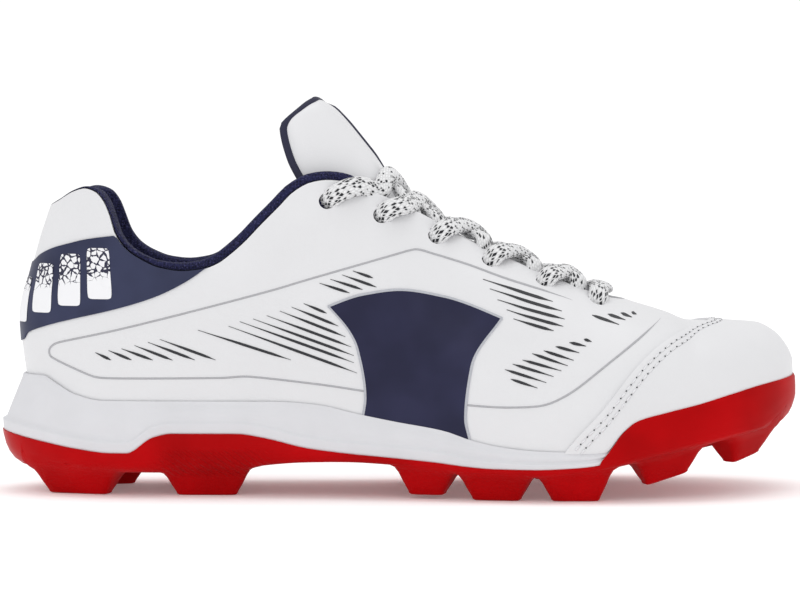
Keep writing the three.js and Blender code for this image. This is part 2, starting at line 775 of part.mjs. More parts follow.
// Outsole: plate, bumper and studs in one moulding
function plateSolid() {
  const steps = [
    { in: 0, up: 1 },
    { in: 0.12, up: 0.6 },
    { in: 0.42, up: 0.22 },
    { in: 1, up: 0 },
  ];
  const rings = steps.map((step) =>
    ring((share, side) => {
      const inset = tuckShare(share) * soleHeight * step.in;
      return solePoint(share, side, inset, (x) => mix(base(x), seam(x), step.up));
    }),
  );
  return solidOf(loftOf(rings.reverse()));
}

function bumperSolid() {
  const used = soleShares.filter((share) => share > bumper[0].at - stationRoom);
  const strips = [-1, 1].map((side) => {
    const top = (share) => turnAtHeight(share, bumperTop(shoeLength * share));
    const strip = lastStrip(side, top, () => 1, 3, used);
    strip.columns.forEach((column) => {
      const foot = column[column.length - 1];
      column.push(foot.clone().setZ(mix(base(foot.x), seam(foot.x), plateFoot)));
    });
    return strip;
  });
  const surface = surfaceOf(strips);
  const out = (point) => {
    const depth = THREE.MathUtils.clamp((bumperTop(point.x) - point.z) / bumperHeight, 0, 1);
    return gap + bumperThickness + depth * bumperThickness;
  };
  return solidOf(wallOf(surface, gap, out));
}

function studSolid({ inner, from, to, rest, tip }) {
  const x = ((from + to) / 2) * shoeLength;
  const long = ((to - from) * shoeLength) / 2;
  const share = x / shoeLength;
  const step = 0.01;
  const edge = solePoint(share, inner, 0, base);
  const ahead = solePoint(share + step, inner, 0, base).sub(solePoint(share - step, inner, 0, base));
  const yaw = Math.atan2(ahead.y, ahead.x);
  const y = edge.y - inner * (tuckShare(share) * soleHeight + studWidth / 2 + studFlare);
  const slope = Math.tan(THREE.MathUtils.degToRad(tip));
  const corner = studWidth / 4;
  const half = studWidth / 2;
  const outline = new THREE.Shape();
  outline.moveTo(-long + corner, -half);
  outline.lineTo(long - corner, -half);
  outline.lineTo(long, -half + corner);
  outline.lineTo(long, half - corner);
  outline.lineTo(long - corner, half);
  outline.lineTo(-long + corner, half);
  outline.lineTo(-long, half - corner);
  outline.lineTo(-long, -half + corner);
  outline.closePath();
  const block = new THREE.ExtrudeGeometry(outline, { depth: 1, bevelEnabled: false, steps: 1 });
  const places = block.attributes.position;
  const point = new THREE.Vector3();
  for (let i = 0; i < places.count; i += 1) {
    point.fromBufferAttribute(places, i);
    const up = point.z;
    const tread = rest + point.x * slope;
    point.x *= 1 + (up * studFlare) / long;
    point.y *= 1 + (up * studFlare) / half;
    point.applyAxisAngle(new THREE.Vector3(0, 0, 1), yaw).add(new THREE.Vector3(x, y, 0));
    point.z = mix(tread, mix(base(point.x), seam(point.x), studRoot), up);
    places.setXYZ(i, point.x, point.y, point.z);
  }
  return solidOf(block);
}

function addOutsole() {
  let moulding = plateSolid().add(bumperSolid());
  studs.forEach((row) => {
    moulding = moulding.add(studSolid(row));
  });
  moulding = moulding.subtract(solidOf(loftOf(midsoleRings(gap))));
  addPiece('outsole', geometryOfSolid(moulding), rubber);
}

// Depth of the tongue's face below the last: deep under the lining's ends, shallow ahead of them
function tongueDepth(x) {
  return mix(tongueSeat, wall + 2 * gap, smooth(0.455, 0.51, x / shoeLength));
}

// Tongue
function addTongue() {
  const strips = [-1, 1].map((side) => {
    const columns = [];
    for (let i = 0; i <= tongueColumns; i += 1) {
      const down = i / tongueColumns;
      const column = [];
      for (let j = 0; j <= tongueRows; j += 1) {
        const out = j / tongueRows;
        const slant = tongueSlant * out ** 2 * Math.max(1 - down * 4, 0) ** 2;
        const share = lastShare(mix(tongueTop, tongueFront, down) - slant);
        column.push(lastPoint(share, side, tongueTurn(down) * out));
      }
      columns.push(column);
    }
    return { columns, flip: side < 0 };
  });
  const surface = surfaceOf(strips);
  const seat = (point) => -tongueDepth(point.x);
  const pad = (point) => mix(tonguePad, tongueThickness, smooth(0.4, 0.5, point.x / shoeLength));
  addPiece('tongue', wallOf(surface, (point) => seat(point) - pad(point), seat), white);
}

// Collar lining, with the padded roll that stands above the upper's edge
function addLining() {
  const front = lastShare(liningFront * shoeLength);
  const used = upperShares.filter((share) => share <= front);
  const path = [
    ...used.map((share) => ({ share, side: -1 })).reverse(),
    ...used.slice(1).map((share) => ({ share, side: 1 })),
  ];
  const edges = path.map(({ share, side }) => lastPoint(share, side, edgeTurn(share)));
  const foot = soleHeight + 2 * gap + insoleThickness + liningFoot;
  let face = null;
  const rings = path.map(({ share, side }, i) => {
    const edge = edges[i];
    const normal = lastNormal(share, side, edgeTurn(share));
    const along = edges[Math.min(i + 1, edges.length - 1)].clone().sub(edges[Math.max(i - 1, 0)]);
    const up = normal.clone().cross(along).normalize();
    up.multiplyScalar(Math.sign(up.z));
    const at = edge.x / shoeLength;
    const depth = mix(rollDepth, liningEnd, smooth(0.25, 0.34, at));
    const roll = Math.max(rollShare(at) * rollHeight, 2 * gap);
    const seat = wall + gap;
    const over = (out, rise) => edge.clone().addScaledVector(normal, out).addScaledVector(up, rise);
    const under = (out, drop) => {
      const turn = turnAtHeight(share, mix(edge.z, foot, drop));
      return lastPoint(share, side, turn).addScaledVector(lastNormal(share, side, turn), out);
    };
    face = [
      [-seat, -1],
      [-seat, -0.5],
      [-seat, gap],
      [-gap, gap],
      [0, 0.6 * roll],
      [-0.4 * seat, roll],
      [-seat - 0.4 * depth, roll],
      [-seat - depth, 0.4 * roll],
      [-seat - 1.1 * depth, -0.08],
      [-seat - depth, -0.5],
      [-seat - 0.4 * depth, -1],
    ].map(([out, rise]) => new THREE.Vector2(out, rise));
    return face.map(({ x, y }) => (y > 0 ? over(x, y) : under(x, -y)));
  });
  addPiece('collar_lining', tubeOf(rings, face), mesh);
}

// Overlays: a thin form just outside the last, cut by outlines seen from the side
function sideCutter(outline) {
  const shape = new THREE.Shape(outline.map(([x, z]) => new THREE.Vector2(x, z)));
  const cutter = new THREE.ExtrudeGeometry(shape, { depth: 2 * ballWidth, bevelEnabled: false });
  cutter.rotateX(Math.PI / 2);
  cutter.translate(0, ballWidth, 0);
  return solidOf(cutter);
}

const scaled = (table, height) => table.map(({ at, up }) => [at * shoeLength, up * height]);

function aboveSole() {
  const count = 60;
  const outline = [];
  for (let i = 0; i <= count; i += 1) {
    const x = mix(-0.05, 1.05, i / count) * shoeLength;
    const rubberTop = x > bumper[0].at * shoeLength ? bumperTop(x) : 0;
    outline.push([x, Math.max(lipTop(x), rubberTop) + 2 * gap]);
  }
  const top = 2 * collarHeight;
  return sideCutter([...outline, [1.05 * shoeLength, top], [-0.05 * shoeLength, top]]);
}

function addOverlays() {
  const skin = solidOf(wallOf(lastSurface, gap, gap + overlayThickness)).intersect(aboveSole());
  const guardTop = 2 * vampHeight;
  const guardOutline = [
    ...scaled(guardEdge, vampHeight),
    [guardEdge.at(-1).at * shoeLength, guardTop],
    [1.05 * shoeLength, guardTop],
    [1.05 * shoeLength, 0],
    [guardEdge[0].at * shoeLength, 0],
  ];
  const guard = skin.intersect(sideCutter(guardOutline.reverse()));
  addPiece('toe_guard', geometryOfSolid(guard), white);
  const panel = skin.intersect(sideCutter(scaled(panelEdge, collarHeight)));
  addPiece('heel_panel', geometryOfSolid(panel), navy);
  const saddle = skin.intersect(sideCutter(scaled(saddleEdge, vampHeight).reverse()));
  saddle.decompose().forEach((half) => {
    const inner = half.boundingBox().min[1] > 0;
    addPiece(inner ? 'side_panel_inner' : 'side_panel_outer', geometryOfSolid(half), navy);
  });
}

// Lace: an oval band laid over the eyestays and the tongue
function laceStrand(from, to) {
  const rings = [];
  for (let i = 0; i <= laceSteps; i += 1) {
    const { point, normal, along } = laceFrame(from, to, i / laceSteps);
    const across = along.clone().cross(normal).normalize();
    const ringPoints = [];
    for (let k = 0; k < laceSides; k += 1) {
      const angle = (2 * Math.PI * k) / laceSides;
      ringPoints.push(
        point
          .clone()
          .addScaledVector(across, (Math.cos(angle) * laceWidth) / 2)
          .addScaledVector(normal, (Math.sin(angle) * laceThickness) / 2),
      );
    }
    rings.push(ringPoints);
  }
  const face = rings[0].map((_, k) => {
    const angle = (2 * Math.PI * k) / laceSides;
    return new THREE.Vector2((Math.cos(angle) * laceWidth) / 2, (Math.sin(angle) * laceThickness) / 2);
  });
  return solidOf(tubeOf(rings, face));
}

function laceFrame(from, to, share) {
  const place = (q) => {
    const x = mix(from.x, to.x, q) + from.slide * Math.sin(Math.PI * q);
    const station = lastShare(x);
    const signed = mix(from.turn, to.turn, q);
    const side = signed < 0 ? -1 : 1;
    const turn = Math.abs(signed);
    const normal = turn < crestTurn ? crestNormal(station) : lastNormal(station, side, turn);
    const edge = edgeTurn(station);
    const onTongue = smooth(laceDrop, 1, signed * from.turn < 0 ? 1 : (edge - turn) / edge + laceDrop);
    const lift = laceThickness / 2 + mix(2 * gap, 2 * gap - tongueDepth(x), from.over ? 0 : onTongue);
    return { point: lastPoint(station, side, turn).addScaledVector(normal, lift), normal };
  };
  const here = place(share);
  const along = place(share + 0.01).point.sub(place(share - 0.01).point);
  return { ...here, along };
}

function crestNormal(share) {
  return lastNormal(share, -1, crestTurn).setY(0).normalize();
}

function addLaces() {
  const holeAt = (i) => holeFront - i * holePitch;
  const start = (i, side) => {
    const x = holeAt(i) + laceShift;
    const slide = i === holeCount - 1 ? laceSlide : 0;
    return { x, slide, turn: side * turnFromEdge(lastShare(x), side, holeMargin) };
  };
  const finish = (i, side) => {
    const x = holeAt(i) - laceTuck;
    return { x, turn: side * turnFromEdge(lastShare(x), side, -laceMargin) };
  };
  const bar = (side) => ({ ...start(0, side), x: holeAt(0) + 2.5 * laceShift, over: true });
  addPiece('lace_bar', geometryOfSolid(laceStrand(bar(-1), bar(1))), cord);
  for (let i = 1; i < holeCount; i += 1) {
    const strands = [-1, 1].map((side) => laceStrand(start(i, side), finish(i - 1, -side)));
    addPiece(`lace_cross_${i}`, geometryOfSolid(strands[0].add(strands[1])), cord);
  }
}

addOutsole();
addMidsole();
addInsole();
addUpper();
addTongue();
addLining();
addOverlays();
addLaces();

const box = new THREE.Box3().setFromObject(shoe);
shoe.position.set(-(box.min.x + box.max.x) / 2, -(box.min.y + box.max.y) / 2, -box.min.z);

export default shoe;
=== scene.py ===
"""Baseball cleat for the right foot: surfaces, finishes, studio light and camera."""

import math
from functools import lru_cache

import bmesh
import bpy
from bpy.props import FloatProperty, FloatVectorProperty, PointerProperty
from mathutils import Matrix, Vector
from mathutils import noise as wave


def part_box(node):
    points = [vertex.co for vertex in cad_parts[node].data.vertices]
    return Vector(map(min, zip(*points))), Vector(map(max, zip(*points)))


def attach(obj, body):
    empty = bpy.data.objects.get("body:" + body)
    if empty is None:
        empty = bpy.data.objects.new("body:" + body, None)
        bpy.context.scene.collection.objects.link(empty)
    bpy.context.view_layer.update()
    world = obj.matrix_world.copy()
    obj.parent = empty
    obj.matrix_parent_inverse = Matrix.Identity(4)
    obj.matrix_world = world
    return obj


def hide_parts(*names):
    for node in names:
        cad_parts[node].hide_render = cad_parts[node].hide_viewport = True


bl_info = {
    "name": "Baseball cleat",
    "version": (1, 0, 0),
    "blender": (4, 5, 0),
    "location": "3D View > Sidebar > Cleat",
    "description": "Surfaces and finishes of a moulded baseball cleat",
    "category": "Add Mesh",
}

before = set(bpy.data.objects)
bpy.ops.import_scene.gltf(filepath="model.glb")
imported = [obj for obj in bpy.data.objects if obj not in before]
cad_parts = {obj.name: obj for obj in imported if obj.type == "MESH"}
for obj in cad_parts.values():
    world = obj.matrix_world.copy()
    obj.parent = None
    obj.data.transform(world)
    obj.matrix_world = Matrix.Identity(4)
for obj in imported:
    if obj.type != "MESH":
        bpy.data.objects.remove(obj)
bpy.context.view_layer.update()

# Lengths are in millimetres until to_frame turns them into metres in the frame. x runs from the
# back of the heel, y from the heel's middle line, positive to the inner side, and z from the ground.
MM = 0.001

# In metres in the frame: the heel's back, its middle line and a height inside the shoe
HEEL_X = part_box("outsole")[0].x
MIDDLE_Y = 0.001723
MIDDLE_Z = 0.03

# The outer side is negative and the inner side positive
SIDES = (-1, 1)

# Sizes of the shoe
SHOE_LENGTH = 246
BALL_WIDTH = 87
HEEL_WIDTH = 60
SOLE_HEIGHT = 28.4
VAMP_HEIGHT = 52.5
COLLAR_HEIGHT = 94
TONGUE_HEIGHT = 122
BUMPER_HEIGHT = 35.8
WALL = 2
GAP = 0.3
HEEL_TUCK = 6.1
TOE_TUCK = 1.5
LEDGE_WIDTH = 3.5
HEEL_LEAN = 9.6
HEEL_REACH = 0.2
BEVEL_HEIGHT = 3.6
BEVEL_DEPTH = 1.2
BEVEL_SHARE = 0.4
LIP_THICKNESS = 1
LIP_THIN = 0.35
LIP_RISE = 0.8
RIM_RISE = 0.45
MIDSOLE_OVERLAP = 0.25
MIDSOLE_SWELL = 0.5
WALL_INSET = (1.3, 0.8)
WALL_FOOT = 0.7
WALL_HEAD = 0.6
BUMPER_THICKNESS = 1.1
BUMPER_EDGE = 0.35
BUMPER_SEAT = 0.4
NOSE_RISE = 6.2
NOSE_START = 0.94
NOSE_TUCK = 6
PLATE_THICKNESS = 0.9
INSOLE_THICKNESS = 4
INSOLE_DISH = 0.7
THROAT_WIDTH = 40
THROAT_FRONT = 192.5
THROAT_ROUND = 9
ROLL_HEIGHT = 3.2
ROLL_DEPTH = 3.8
LINING_FOOT = 1.5
LINING_FRONT = 0.447
LINING_END = 2.2
TONGUE_THICKNESS = 3
TONGUE_PAD = 5
TONGUE_TOP = 102.5
TONGUE_FRONT = 198
BINDING_REACH = 0.62
BINDING_PROUD = Vector((0.5, 0, 0.86))
BINDING_SIDES = 14
HOLE_DIAMETER = 5
HOLE_SIDES = 28
HOLE_COUNT = 6
HOLE_PITCH = 16.4
HOLE_FRONT = 183
HOLE_MARGIN = 6.5
LACE_SIDES = 18
BAR_SINK = 0.3
UPPER_STRAND = 0.4
LOWER_STRAND = -1.7
TUCK_AHEAD = 1.5
TUCK_REACH = 4.5
TUCK_DEPTH = 1.5
STUD_WIDTH = 6.5
STUD_FLARE = 4.2
STUD_SIDES = 40
STUD_SQUARE = 0.38
STUD_INSET = 0.25
CREST_TURN = 0.02
WELD_DISTANCE = 0.01

# Overlays, prints and stitches: sizes of each layer and how far it stands off the upper
GUARD_THICKNESS = 0.75
GUARD_RANGE = (160, 230)
RIM_COVER = 0.5
BUMPER_COVER = 0.2
PANEL_THICKNESS = 0.45
PANEL_TIP = 65.5
PANEL_HEIGHTS = (52, 74)
SADDLE_THICKNESS = 0.35
SADDLE_CLEARANCE = 0.2
BONDED = 0.15
SKIVED_RIM = ("Skived rim", 0.22, 60, 50)
PRINT_THICKNESS = 0.2
BLOCK_COUNT = 4
BLOCK_START = 5.4
BLOCK_PITCH = 10
BLOCK_WIDTH = 7.8
BLOCK_LEAN = 0.1
BLOCK_LIFT = 0.58
BLOCK_MARGINS = (4.5, 3.2, 4)
ARC_HEIGHT = 62
DASH_STEP = 1.2
DASH_LIFT = 0.14
CLEAR_ABOVE = 1.8
CLEAR_BESIDE = 1.9
EDGING_WIDTH = 0.75
EDGING_LIFT = 0.3
EDGING_THICKNESS = 0.35
PIPING_LIFT = 0.06
PIPING_CROWN = 0.22
STITCH_GAP = 0.85
STITCH_ROWS = (2.0, 3.9)
THREAD_SECTION = (0.6, 0.36)
THREAD_LIFT = 0.11
# Size of each dark bead that paints the shade in a needle hole: length, breadth, height
NEEDLE_HOLE_SHADE = (0.55, 0.5, 0.22)

# Plan of the sole: share of the length, ball, waist, drift
PLAN = (
    (0, 0, 1, 0),
    (0.2, 0, 1, 0),
    (0.3, 0, 0.99, -0.009),
    (0.4, 0.05, 0.98, -0.023),
    (0.5, 0.3, 0.97, -0.035),
    (0.6, 0.65, 0.993, -0.04),
    (0.7, 0.95, 1, -0.026),
    (0.78, 1, 1, -0.014),
    (0.86, 1, 1, 0.002),
    (0.93, 1, 1, 0.03),
    (1, 1, 1, 0.08),
)

# Rounding of the plan's two ends: share of the length that it takes up, power of the curve
HEEL_CAP = (0.2, 2)
TOE_CAP = (0.28, 2.2)

# Heights along the sole as shares of SOLE_HEIGHT: share of the length, footbed, seam, underside, tuck
SOLE = (
    (0, 1, 0.669, 0.28, 0.3),
    (0.055, 1, 0.585, 0.262, 0.26),
    (0.104, 1, 0.514, 0.26, 0.21),
    (0.145, 1, 0.478, 0.26, 0.2),
    (0.164, 1, 0.478, 0.26, 0.2),
    (0.198, 1, 0.651, 0.26, 0.2),
    (0.22, 1, 0.69, 0.262, 0.2),
    (0.3, 1, 0.69, 0.275, 0.2),
    (0.335, 1, 0.645, 0.345, 0.15),
    (0.386, 0.97, 0.542, 0.385, 0.09),
    (0.436, 0.88, 0.489, 0.393, 0.08),
    (0.484, 0.803, 0.455, 0.377, 0.08),
    (0.546, 0.715, 0.409, 0.32, 0.08),
    (0.577, 0.63, 0.378, 0.292, 0.08),
    (0.611, 0.564, 0.357, 0.28, 0.08),
    (0.66, 0.52, 0.353, 0.268, 0.08),
    (0.711, 0.51, 0.373, 0.3, 0.09),
    (0.745, 0.522, 0.41, 0.345, 0.1),
    (0.78, 0.575, 0.49, 0.405, 0.14),
    (0.86, 0.716, 0.63, 0.56, 0.17),
    (0.963, 0.86, 0.775, 0.71, 0.23),
    (1, 0.9, 0.82, 0.73, 0.3),
)
# Rise of the midsole's lip over the footbed, as a share of SOLE_HEIGHT, by share of the length
LIP = ((0, 0.25), (0.031, 0.25), (0.045, 0.19), (0.074, 0.06), (0.11, 0), (1, 0))

# Top of the bumper, as a share of BUMPER_HEIGHT, by share of the length
BUMPER = (
    (0.742, 0.352), (0.754, 0.466), (0.767, 0.584), (0.786, 0.684), (0.825, 0.754), (0.864, 0.813),
    (0.904, 0.883), (0.947, 0.95), (1, 1),
)

# Shares of the length between which the midsole's lip, outside and inside draw in behind the bumper
LIP_FADE = (0.7, 0.74)
OUTLINE_FADE = (0.735, 0.765)
INSIDE_FADE = (0.745, 0.775)

# Sections of the last: share of the length, toe, rise, square, ledge
LAST = (
    (0, 1, 1.26, 2.6, 1.15),
    (0.1, 1, 1.26, 2.5, 1.15),
    (0.325, 1, 1.26, 2.35, 1),
    (0.366, 1, 1.2, 2.3, 1),
    (0.411, 1, 1.069, 2.25, 0.95),
    (0.478, 1, 0.79, 2.2, 0.9),
    (0.519, 1, 0.6, 2.2, 0.86),
    (0.569, 1, 0.434, 2.15, 0.8),
    (0.638, 1, 0.3, 2.1, 0.7),
    (0.699, 1, 0.2, 2.1, 0.6),
    (0.752, 1, 0.128, 2.1, 0.55),
    (0.801, 1, 0.078, 2.15, 0.5),
    (0.835, 1, 0.039, 2.18, 0.5),
    (0.862, 0.996, 0.006, 2.2, 0.5),
    (0.927, 0.98, 0, 2.3, 0.47),
    (0.948, 0.972, 0, 2.3, 0.45),
    (0.97, 0.922, 0, 2.3, 0.43),
    (0.987, 0.83, 0, 2.2, 0.43),
    (1, 0.69, 0, 2.2, 0.43),
)

# Lean of the heel's back, as a share of HEEL_LEAN, by height as a share of COLLAR_HEIGHT
HEEL_BACK = (
    (0.3, 0.27), (0.381, 0.167), (0.509, 0.026), (0.562, 0), (0.637, 0.094), (0.704, 0.26),
    (0.84, 0.635), (0.951, 1), (1.02, 1.22),
)

# Collar: share of the length, edge of the upper as a share of COLLAR_HEIGHT, share of ROLL_HEIGHT
COLLAR = (
    (0.06, 0.932, 0.2),
    (0.076, 0.953, 0.2),
    (0.097, 0.983, 0.25),
    (0.111, 0.992, 0.3),
    (0.1236, 0.982, 0.35),
    (0.134, 0.954, 0.3),
    (0.142, 0.91, 0.25),
    (0.15, 0.846, 0.4),
    (0.164, 0.797, 0.5),
    (0.183, 0.763, 0.6),
    (0.205, 0.738, 0.75),
    (0.233, 0.727, 0.88),
    (0.258, 0.734, 0.95),
    (0.276, 0.751, 1),
    (0.292, 0.781, 1),
    (0.311, 0.825, 1),
    (0.328, 0.872, 1),
    (0.35, 0.93, 1),
    (0.371, 0.985, 1),
    (0.392, 1.013, 1),
    (0.411, 1.02, 1),
    (0.424, 1.018, 1),
    (0.46, 1.003, 0.8),
)

# Where the collar's edge passes over into the throat's, and the throat's breadth as a share of
# THROAT_WIDTH, by share of the length
COLLAR_FRONT = (0.42, 0.47)
THROAT = (
    (0.42, 1.03), (0.455, 0.98), (0.495, 0.88), (0.545, 0.66), (0.6, 0.53), (0.66, 0.49),
    (0.74, 0.46), (0.79, 0.45),
)

# Turn of the tongue's side edges on the last, by the share of the way down it
TONGUE = (
    (0, 0.43), (0.03, 0.437), (0.06, 0.464), (0.1, 0.507), (0.15, 0.551), (0.2, 0.58), (0.3, 0.6),
    (0.5, 0.5), (0.8, 0.34), (1, 0.24),
)

# How far the tongue's side edges lie behind its middle, by the share of the way down it
TONGUE_SLANT = (
    (0, 13), (0.03, 16.8), (0.06, 20), (0.1, 23), (0.15, 25.8), (0.2, 27.2), (0.35, 18), (0.55, 5),
    (0.8, 0), (1, 0),
)

# How far the tongue's far edge rises beside its middle, by the share of the way down it
FAR_EDGE_RISE = ((0, 1.1), (0.02, 0.8), (0.05, 1.3), (0.1, 1.7), (0.16, 1.7), (0.24, 0.6))

# How deep the tongue lies under the last, by share of the length
TONGUE_DEPTH = ((0.4, 5.1), (0.49, 5.1), (0.56, 4.6), (0.7, 4.2), (0.78, 2.6), (1, 2.6))

# Studs: side, ends of the tread as shares of the length, height above the ground, slope in degrees
STUDS = (
    (-1, 0.062, 0.143, 0, 0),
    (-1, 0.223, 0.3, 0, 0),
    (-1, 0.511, 0.557, 1.2, 0),
    (-1, 0.588, 0.649, 0, 0),
    (-1, 0.683, 0.744, 0, 0),
    (-1, 0.796, 0.852, 6.2, 16),
    (-1, 0.899, 0.946, 11.4, 15),
    (1, 0.085, 0.162, 0, 0),
    (1, 0.205, 0.275, 0, 0),
    (1, 0.5, 0.54, 1.9, 0),
    (1, 0.58, 0.636, 0, 0),
    (1, 0.672, 0.724, 0, 0),
    (1, 0.778, 0.832, 5.6, 16),
    (1, 0.87, 0.915, 10.6, 15),
)

# Flank of a stud, from the middle of its tread out to the plate: growth of the tread's outline as
# a share of its half breadth, flare as a share of STUD_FLARE, share of the way up to the plate
STUD_FLANK = (
    (-0.55, 0, 0.0),
    (-0.25, 0, 0.015),
    (-0.08, 0, 0.06),
    (0, 0, 0.15),
    (0, 0.3, 0.42),
    (0, 0.62, 0.74),
    (0, 0.9, 0.92),
    (0, 1.25, 0.99),
    (0, 1.7, 1.04),
)

# Rows of the plate on each side of its middle line, and how many of them stand above the turn line
PLATE_ROWS = 26
RIM_ROWS = 9

# The plate's side below the turn line: share of the tuck, share of the height
SIDE_STEPS = ((0, 1), (0.03, 0.86), (0.12, 0.6), (0.24, 0.4), (0.42, 0.22), (0.7, 0.07), (1, 0))

# Rows of the midsole from the middle of its top, over the lip and down the side to the seam:
# bed by share of the way out, lip by share of its thickness and height, wall by share of the way
# up, band by its inset and height as shares of the bevel's, and under for the middle line below
MIDSOLE_ROWS = (
    ("bed", 0),
    ("bed", 1),
    ("lip", 0, -0.1),
    ("lip", 0.25, 0),
    ("lip", 0.7, 0),
    ("lip", 1, -0.3),
    ("wall", 0.94),
    ("wall", 0.85),
    ("wall", 0.7),
    ("wall", 0.55),
    ("wall", 0.4),
    ("wall", 0.25),
    ("wall", 0.12),
    ("wall", 0),
    ("band", 0.4, 1.06),
    ("band", 0.08, 1.0),
    ("band", 0, 0.92),
    ("band", 0, 0.8),
    ("band", 0.06, 0.5),
    ("band", 0.16, 0.25),
    ("band", 0.32, 0.1),
    ("band", 0.55, 0),
    ("under", 0),
)

# Section of the lining: shares of its seat and its depth inwards, of the gap and of the roll's height;
# a negative height is a share of the way down to the insole
LINING_SECTION = (
    (1, 0, 0, -1),
    (1, 0, 0, -0.5),
    (1, 0, 0, -0.1),
    (1, 0, 1, 0),
    (0.15, 0, 1, 0),
    (0, 0, 0, 0.55),
    (0.3, 0, 0, 0.95),
    (1, 0.4, 0, 1.02),
    (1, 0.85, 0, 0.75),
    (1, 1.05, 0, 0.3),
    (1, 1.12, 0, -0.08),
    (1, 1, 0, -0.5),
    (1, 0.4, 0, -1),
)

# Lace, from the toe's bar to the top: x where a strand passes the near edge of the throat, a place
# between, the crest and the far edge, and the place between as a share of the way out to the near edge
LACE_RUNS = (
    (183.4, 184.4, 185.5, 183.4, 0.5),
    (170.4, 172.4, 174.2, 177.6, 0.5),
    (154.4, 157, 159.6, 164.6, 0.5),
    (138, 141, 144, 149.2, 0.5),
    (124.5, 128, 131, 136, 0.6),
    (111, 118, 124.3, 129, 0.8),
)

# The knots of a crossing: hole, near edge, between, crest, far edge and end, as shares of its run
LACE_KNOTS = (0, 0.2, 0.34, 0.5, 0.84, 1)

# How deep the laced tongue lets a strand sink under the last, by share of the length
LACE_SEAT = (
    (0.4, 5.4), (0.5, 5.6), (0.53, 4.1), (0.56, 1.3), (0.6, 0.4), (0.66, 0.6), (0.7, -0.2),
    (1, -0.2),
)

# How high a strand lies as it leaves its hole, by share of its run
LACE_DIP = (
    (0, -5), (0.012, -3.2), (0.035, -1.1), (0.06, -0.2), (0.1, 0.2), (0.18, 0.1), (0.25, 0), (1, 0),
)

# Edges of the toe guard and of the heel panel, seen from the side
GUARD_EDGE = (
    (167, 4), (171.5, 14.5), (175, 18.9), (182.9, 27.2), (193.7, 40), (200.6, 45.8), (208, 49.7),
    (214, 51.4), (219, 52.2), (222, 53), (225, 60),
)
PANEL_TOP = (
    (6, 68), (11.4, 70.8), (13.4, 73), (17.3, 75.1), (22.8, 76.7), (28.1, 77.9), (37.4, 79.1),
    (66, 82),
)
PANEL_FOOT = (
    (4, 45.4), (7.7, 47.1), (9.3, 49.1), (15.4, 51.5), (22.8, 53.5), (37.1, 56.9), (49.4, 60.7),
    (58.8, 65.4), (66, 70.5),
)

# Saddle panel: share of the way down, x of its rear edge and of its front edge; then its top edge
SADDLE = ((0, 102, 153), (0.45, 110.7, 144), (0.85, 113, 142.2), (1, 112.3, 143.5))
SADDLE_TOP = ((95, 54.5), (102, 57.8), (112, 61.2), (123, 62.6), (136, 60.6), (153, 54.4), (160, 51))

# Route of the grey piping, seen from the side
PIPING = (
    (175.1, 59.4), (166.8, 62.4), (154.5, 66.4), (143.8, 70.3), (132.7, 73.8), (129.5, 74.8),
    (127.3, 75), (123.9, 74.2), (96.1, 66.2), (84.1, 62.6), (63, 57), (38.3, 50.8), (20, 46.7),
    (17.4, 45.6), (16.2, 43.9), (17, 41.9), (29.6, 36.6), (34.6, 36), (69.3, 36.3), (77.4, 36.7),
    (99.1, 34.4), (122.1, 31.2), (141.2, 29.1), (153.6, 28.4), (163.6, 28.8), (168.6, 30.1),
    (175.1, 33.7), (187.5, 42.9), (195.8, 49), (202.4, 54),
)

# Printed dashes, seen from the side: where each one starts and ends
DASHES = {
    "heel": (
        (30.8, 43.7, 35.7, 41.5),
        (34.9, 44.4, 42, 41.6),
        (38.9, 45, 48.5, 41.6),
        (42.9, 46, 54.5, 41.6),
        (47, 47, 61.2, 41.7),
        (50.6, 47.9, 67.5, 41.7),
    ),
    "quarter": (
        (94, 58.8, 121.8, 47.1),
        (90.4, 57.7, 124.2, 44.1),
        (86.8, 56.5, 125.1, 41.7),
        (82.9, 55.1, 125.4, 39.6),
        (78.8, 54.1, 125.4, 37.4),
        (74.7, 53.3, 122.7, 36.3),
        (71.4, 51.9, 110.1, 38),
        (62.1, 50.7, 90.2, 41.8),
    ),
    "instep": (
        (108.8, 68.6, 114.9, 66.5),
        (105.6, 67.4, 116.7, 63.5),
        (102, 66.1, 118.8, 60.8),
        (98.8, 64.9, 120.6, 57.9),
    ),
    "vamp": (
        (148, 66, 169, 59.2),
        (150, 63.2, 171.6, 56.3),
        (152.3, 60, 172.4, 54),
        (155, 57.1, 171.9, 52),
        (157, 54.5, 169, 50.9),
    ),
    "toe": (
        (180.9, 55.1, 189, 52.3),
        (185.8, 55.3, 191.1, 53.6),
        (189.9, 55.6, 193.3, 54.4),
        (193.4, 55.9, 194.9, 55.3),
    ),
    "ball": (
        (154.2, 39.6, 166.5, 35.8),
        (156.5, 41.2, 168.7, 37.6),
        (159.5, 42.4, 171.1, 39.3),
        (162.4, 44.3, 173, 40.8),
        (165.9, 45.2, 174.8, 42.3),
        (169.5, 46.4, 176.5, 44.4),
        (173.6, 47.4, 178.6, 46.2),
        (178, 48.2, 180.3, 47.5),
        (155.9, 36.8, 163.9, 34.2),
    ),
}

# Groups whose dashes are fullest at the rear; the others are fullest ahead
FULL_AT_THE_REAR = ("toe", "ball")

# Soft troughs (negative) and swellings of the upper, seen from the side: ends, depth, half breadth
CREASES = (
    (48, 63, 78, 65, 0.7, 6),
    (26, 84, 36, 70, 0.5, 6),
    (84, 74, 102, 88, 0.5, 6),
    (160, 56, 176, 34, -0.3, 4.5),
    (172, 57, 186, 36, 0.25, 4),
    (196, 57.5, 212, 50, -0.35, 3.5),
    (96, 52, 104, 34, -0.2, 6),
    (60, 44, 90, 46, 0.25, 8),
    (8, 58, 12, 40, 0.3, 6),
)


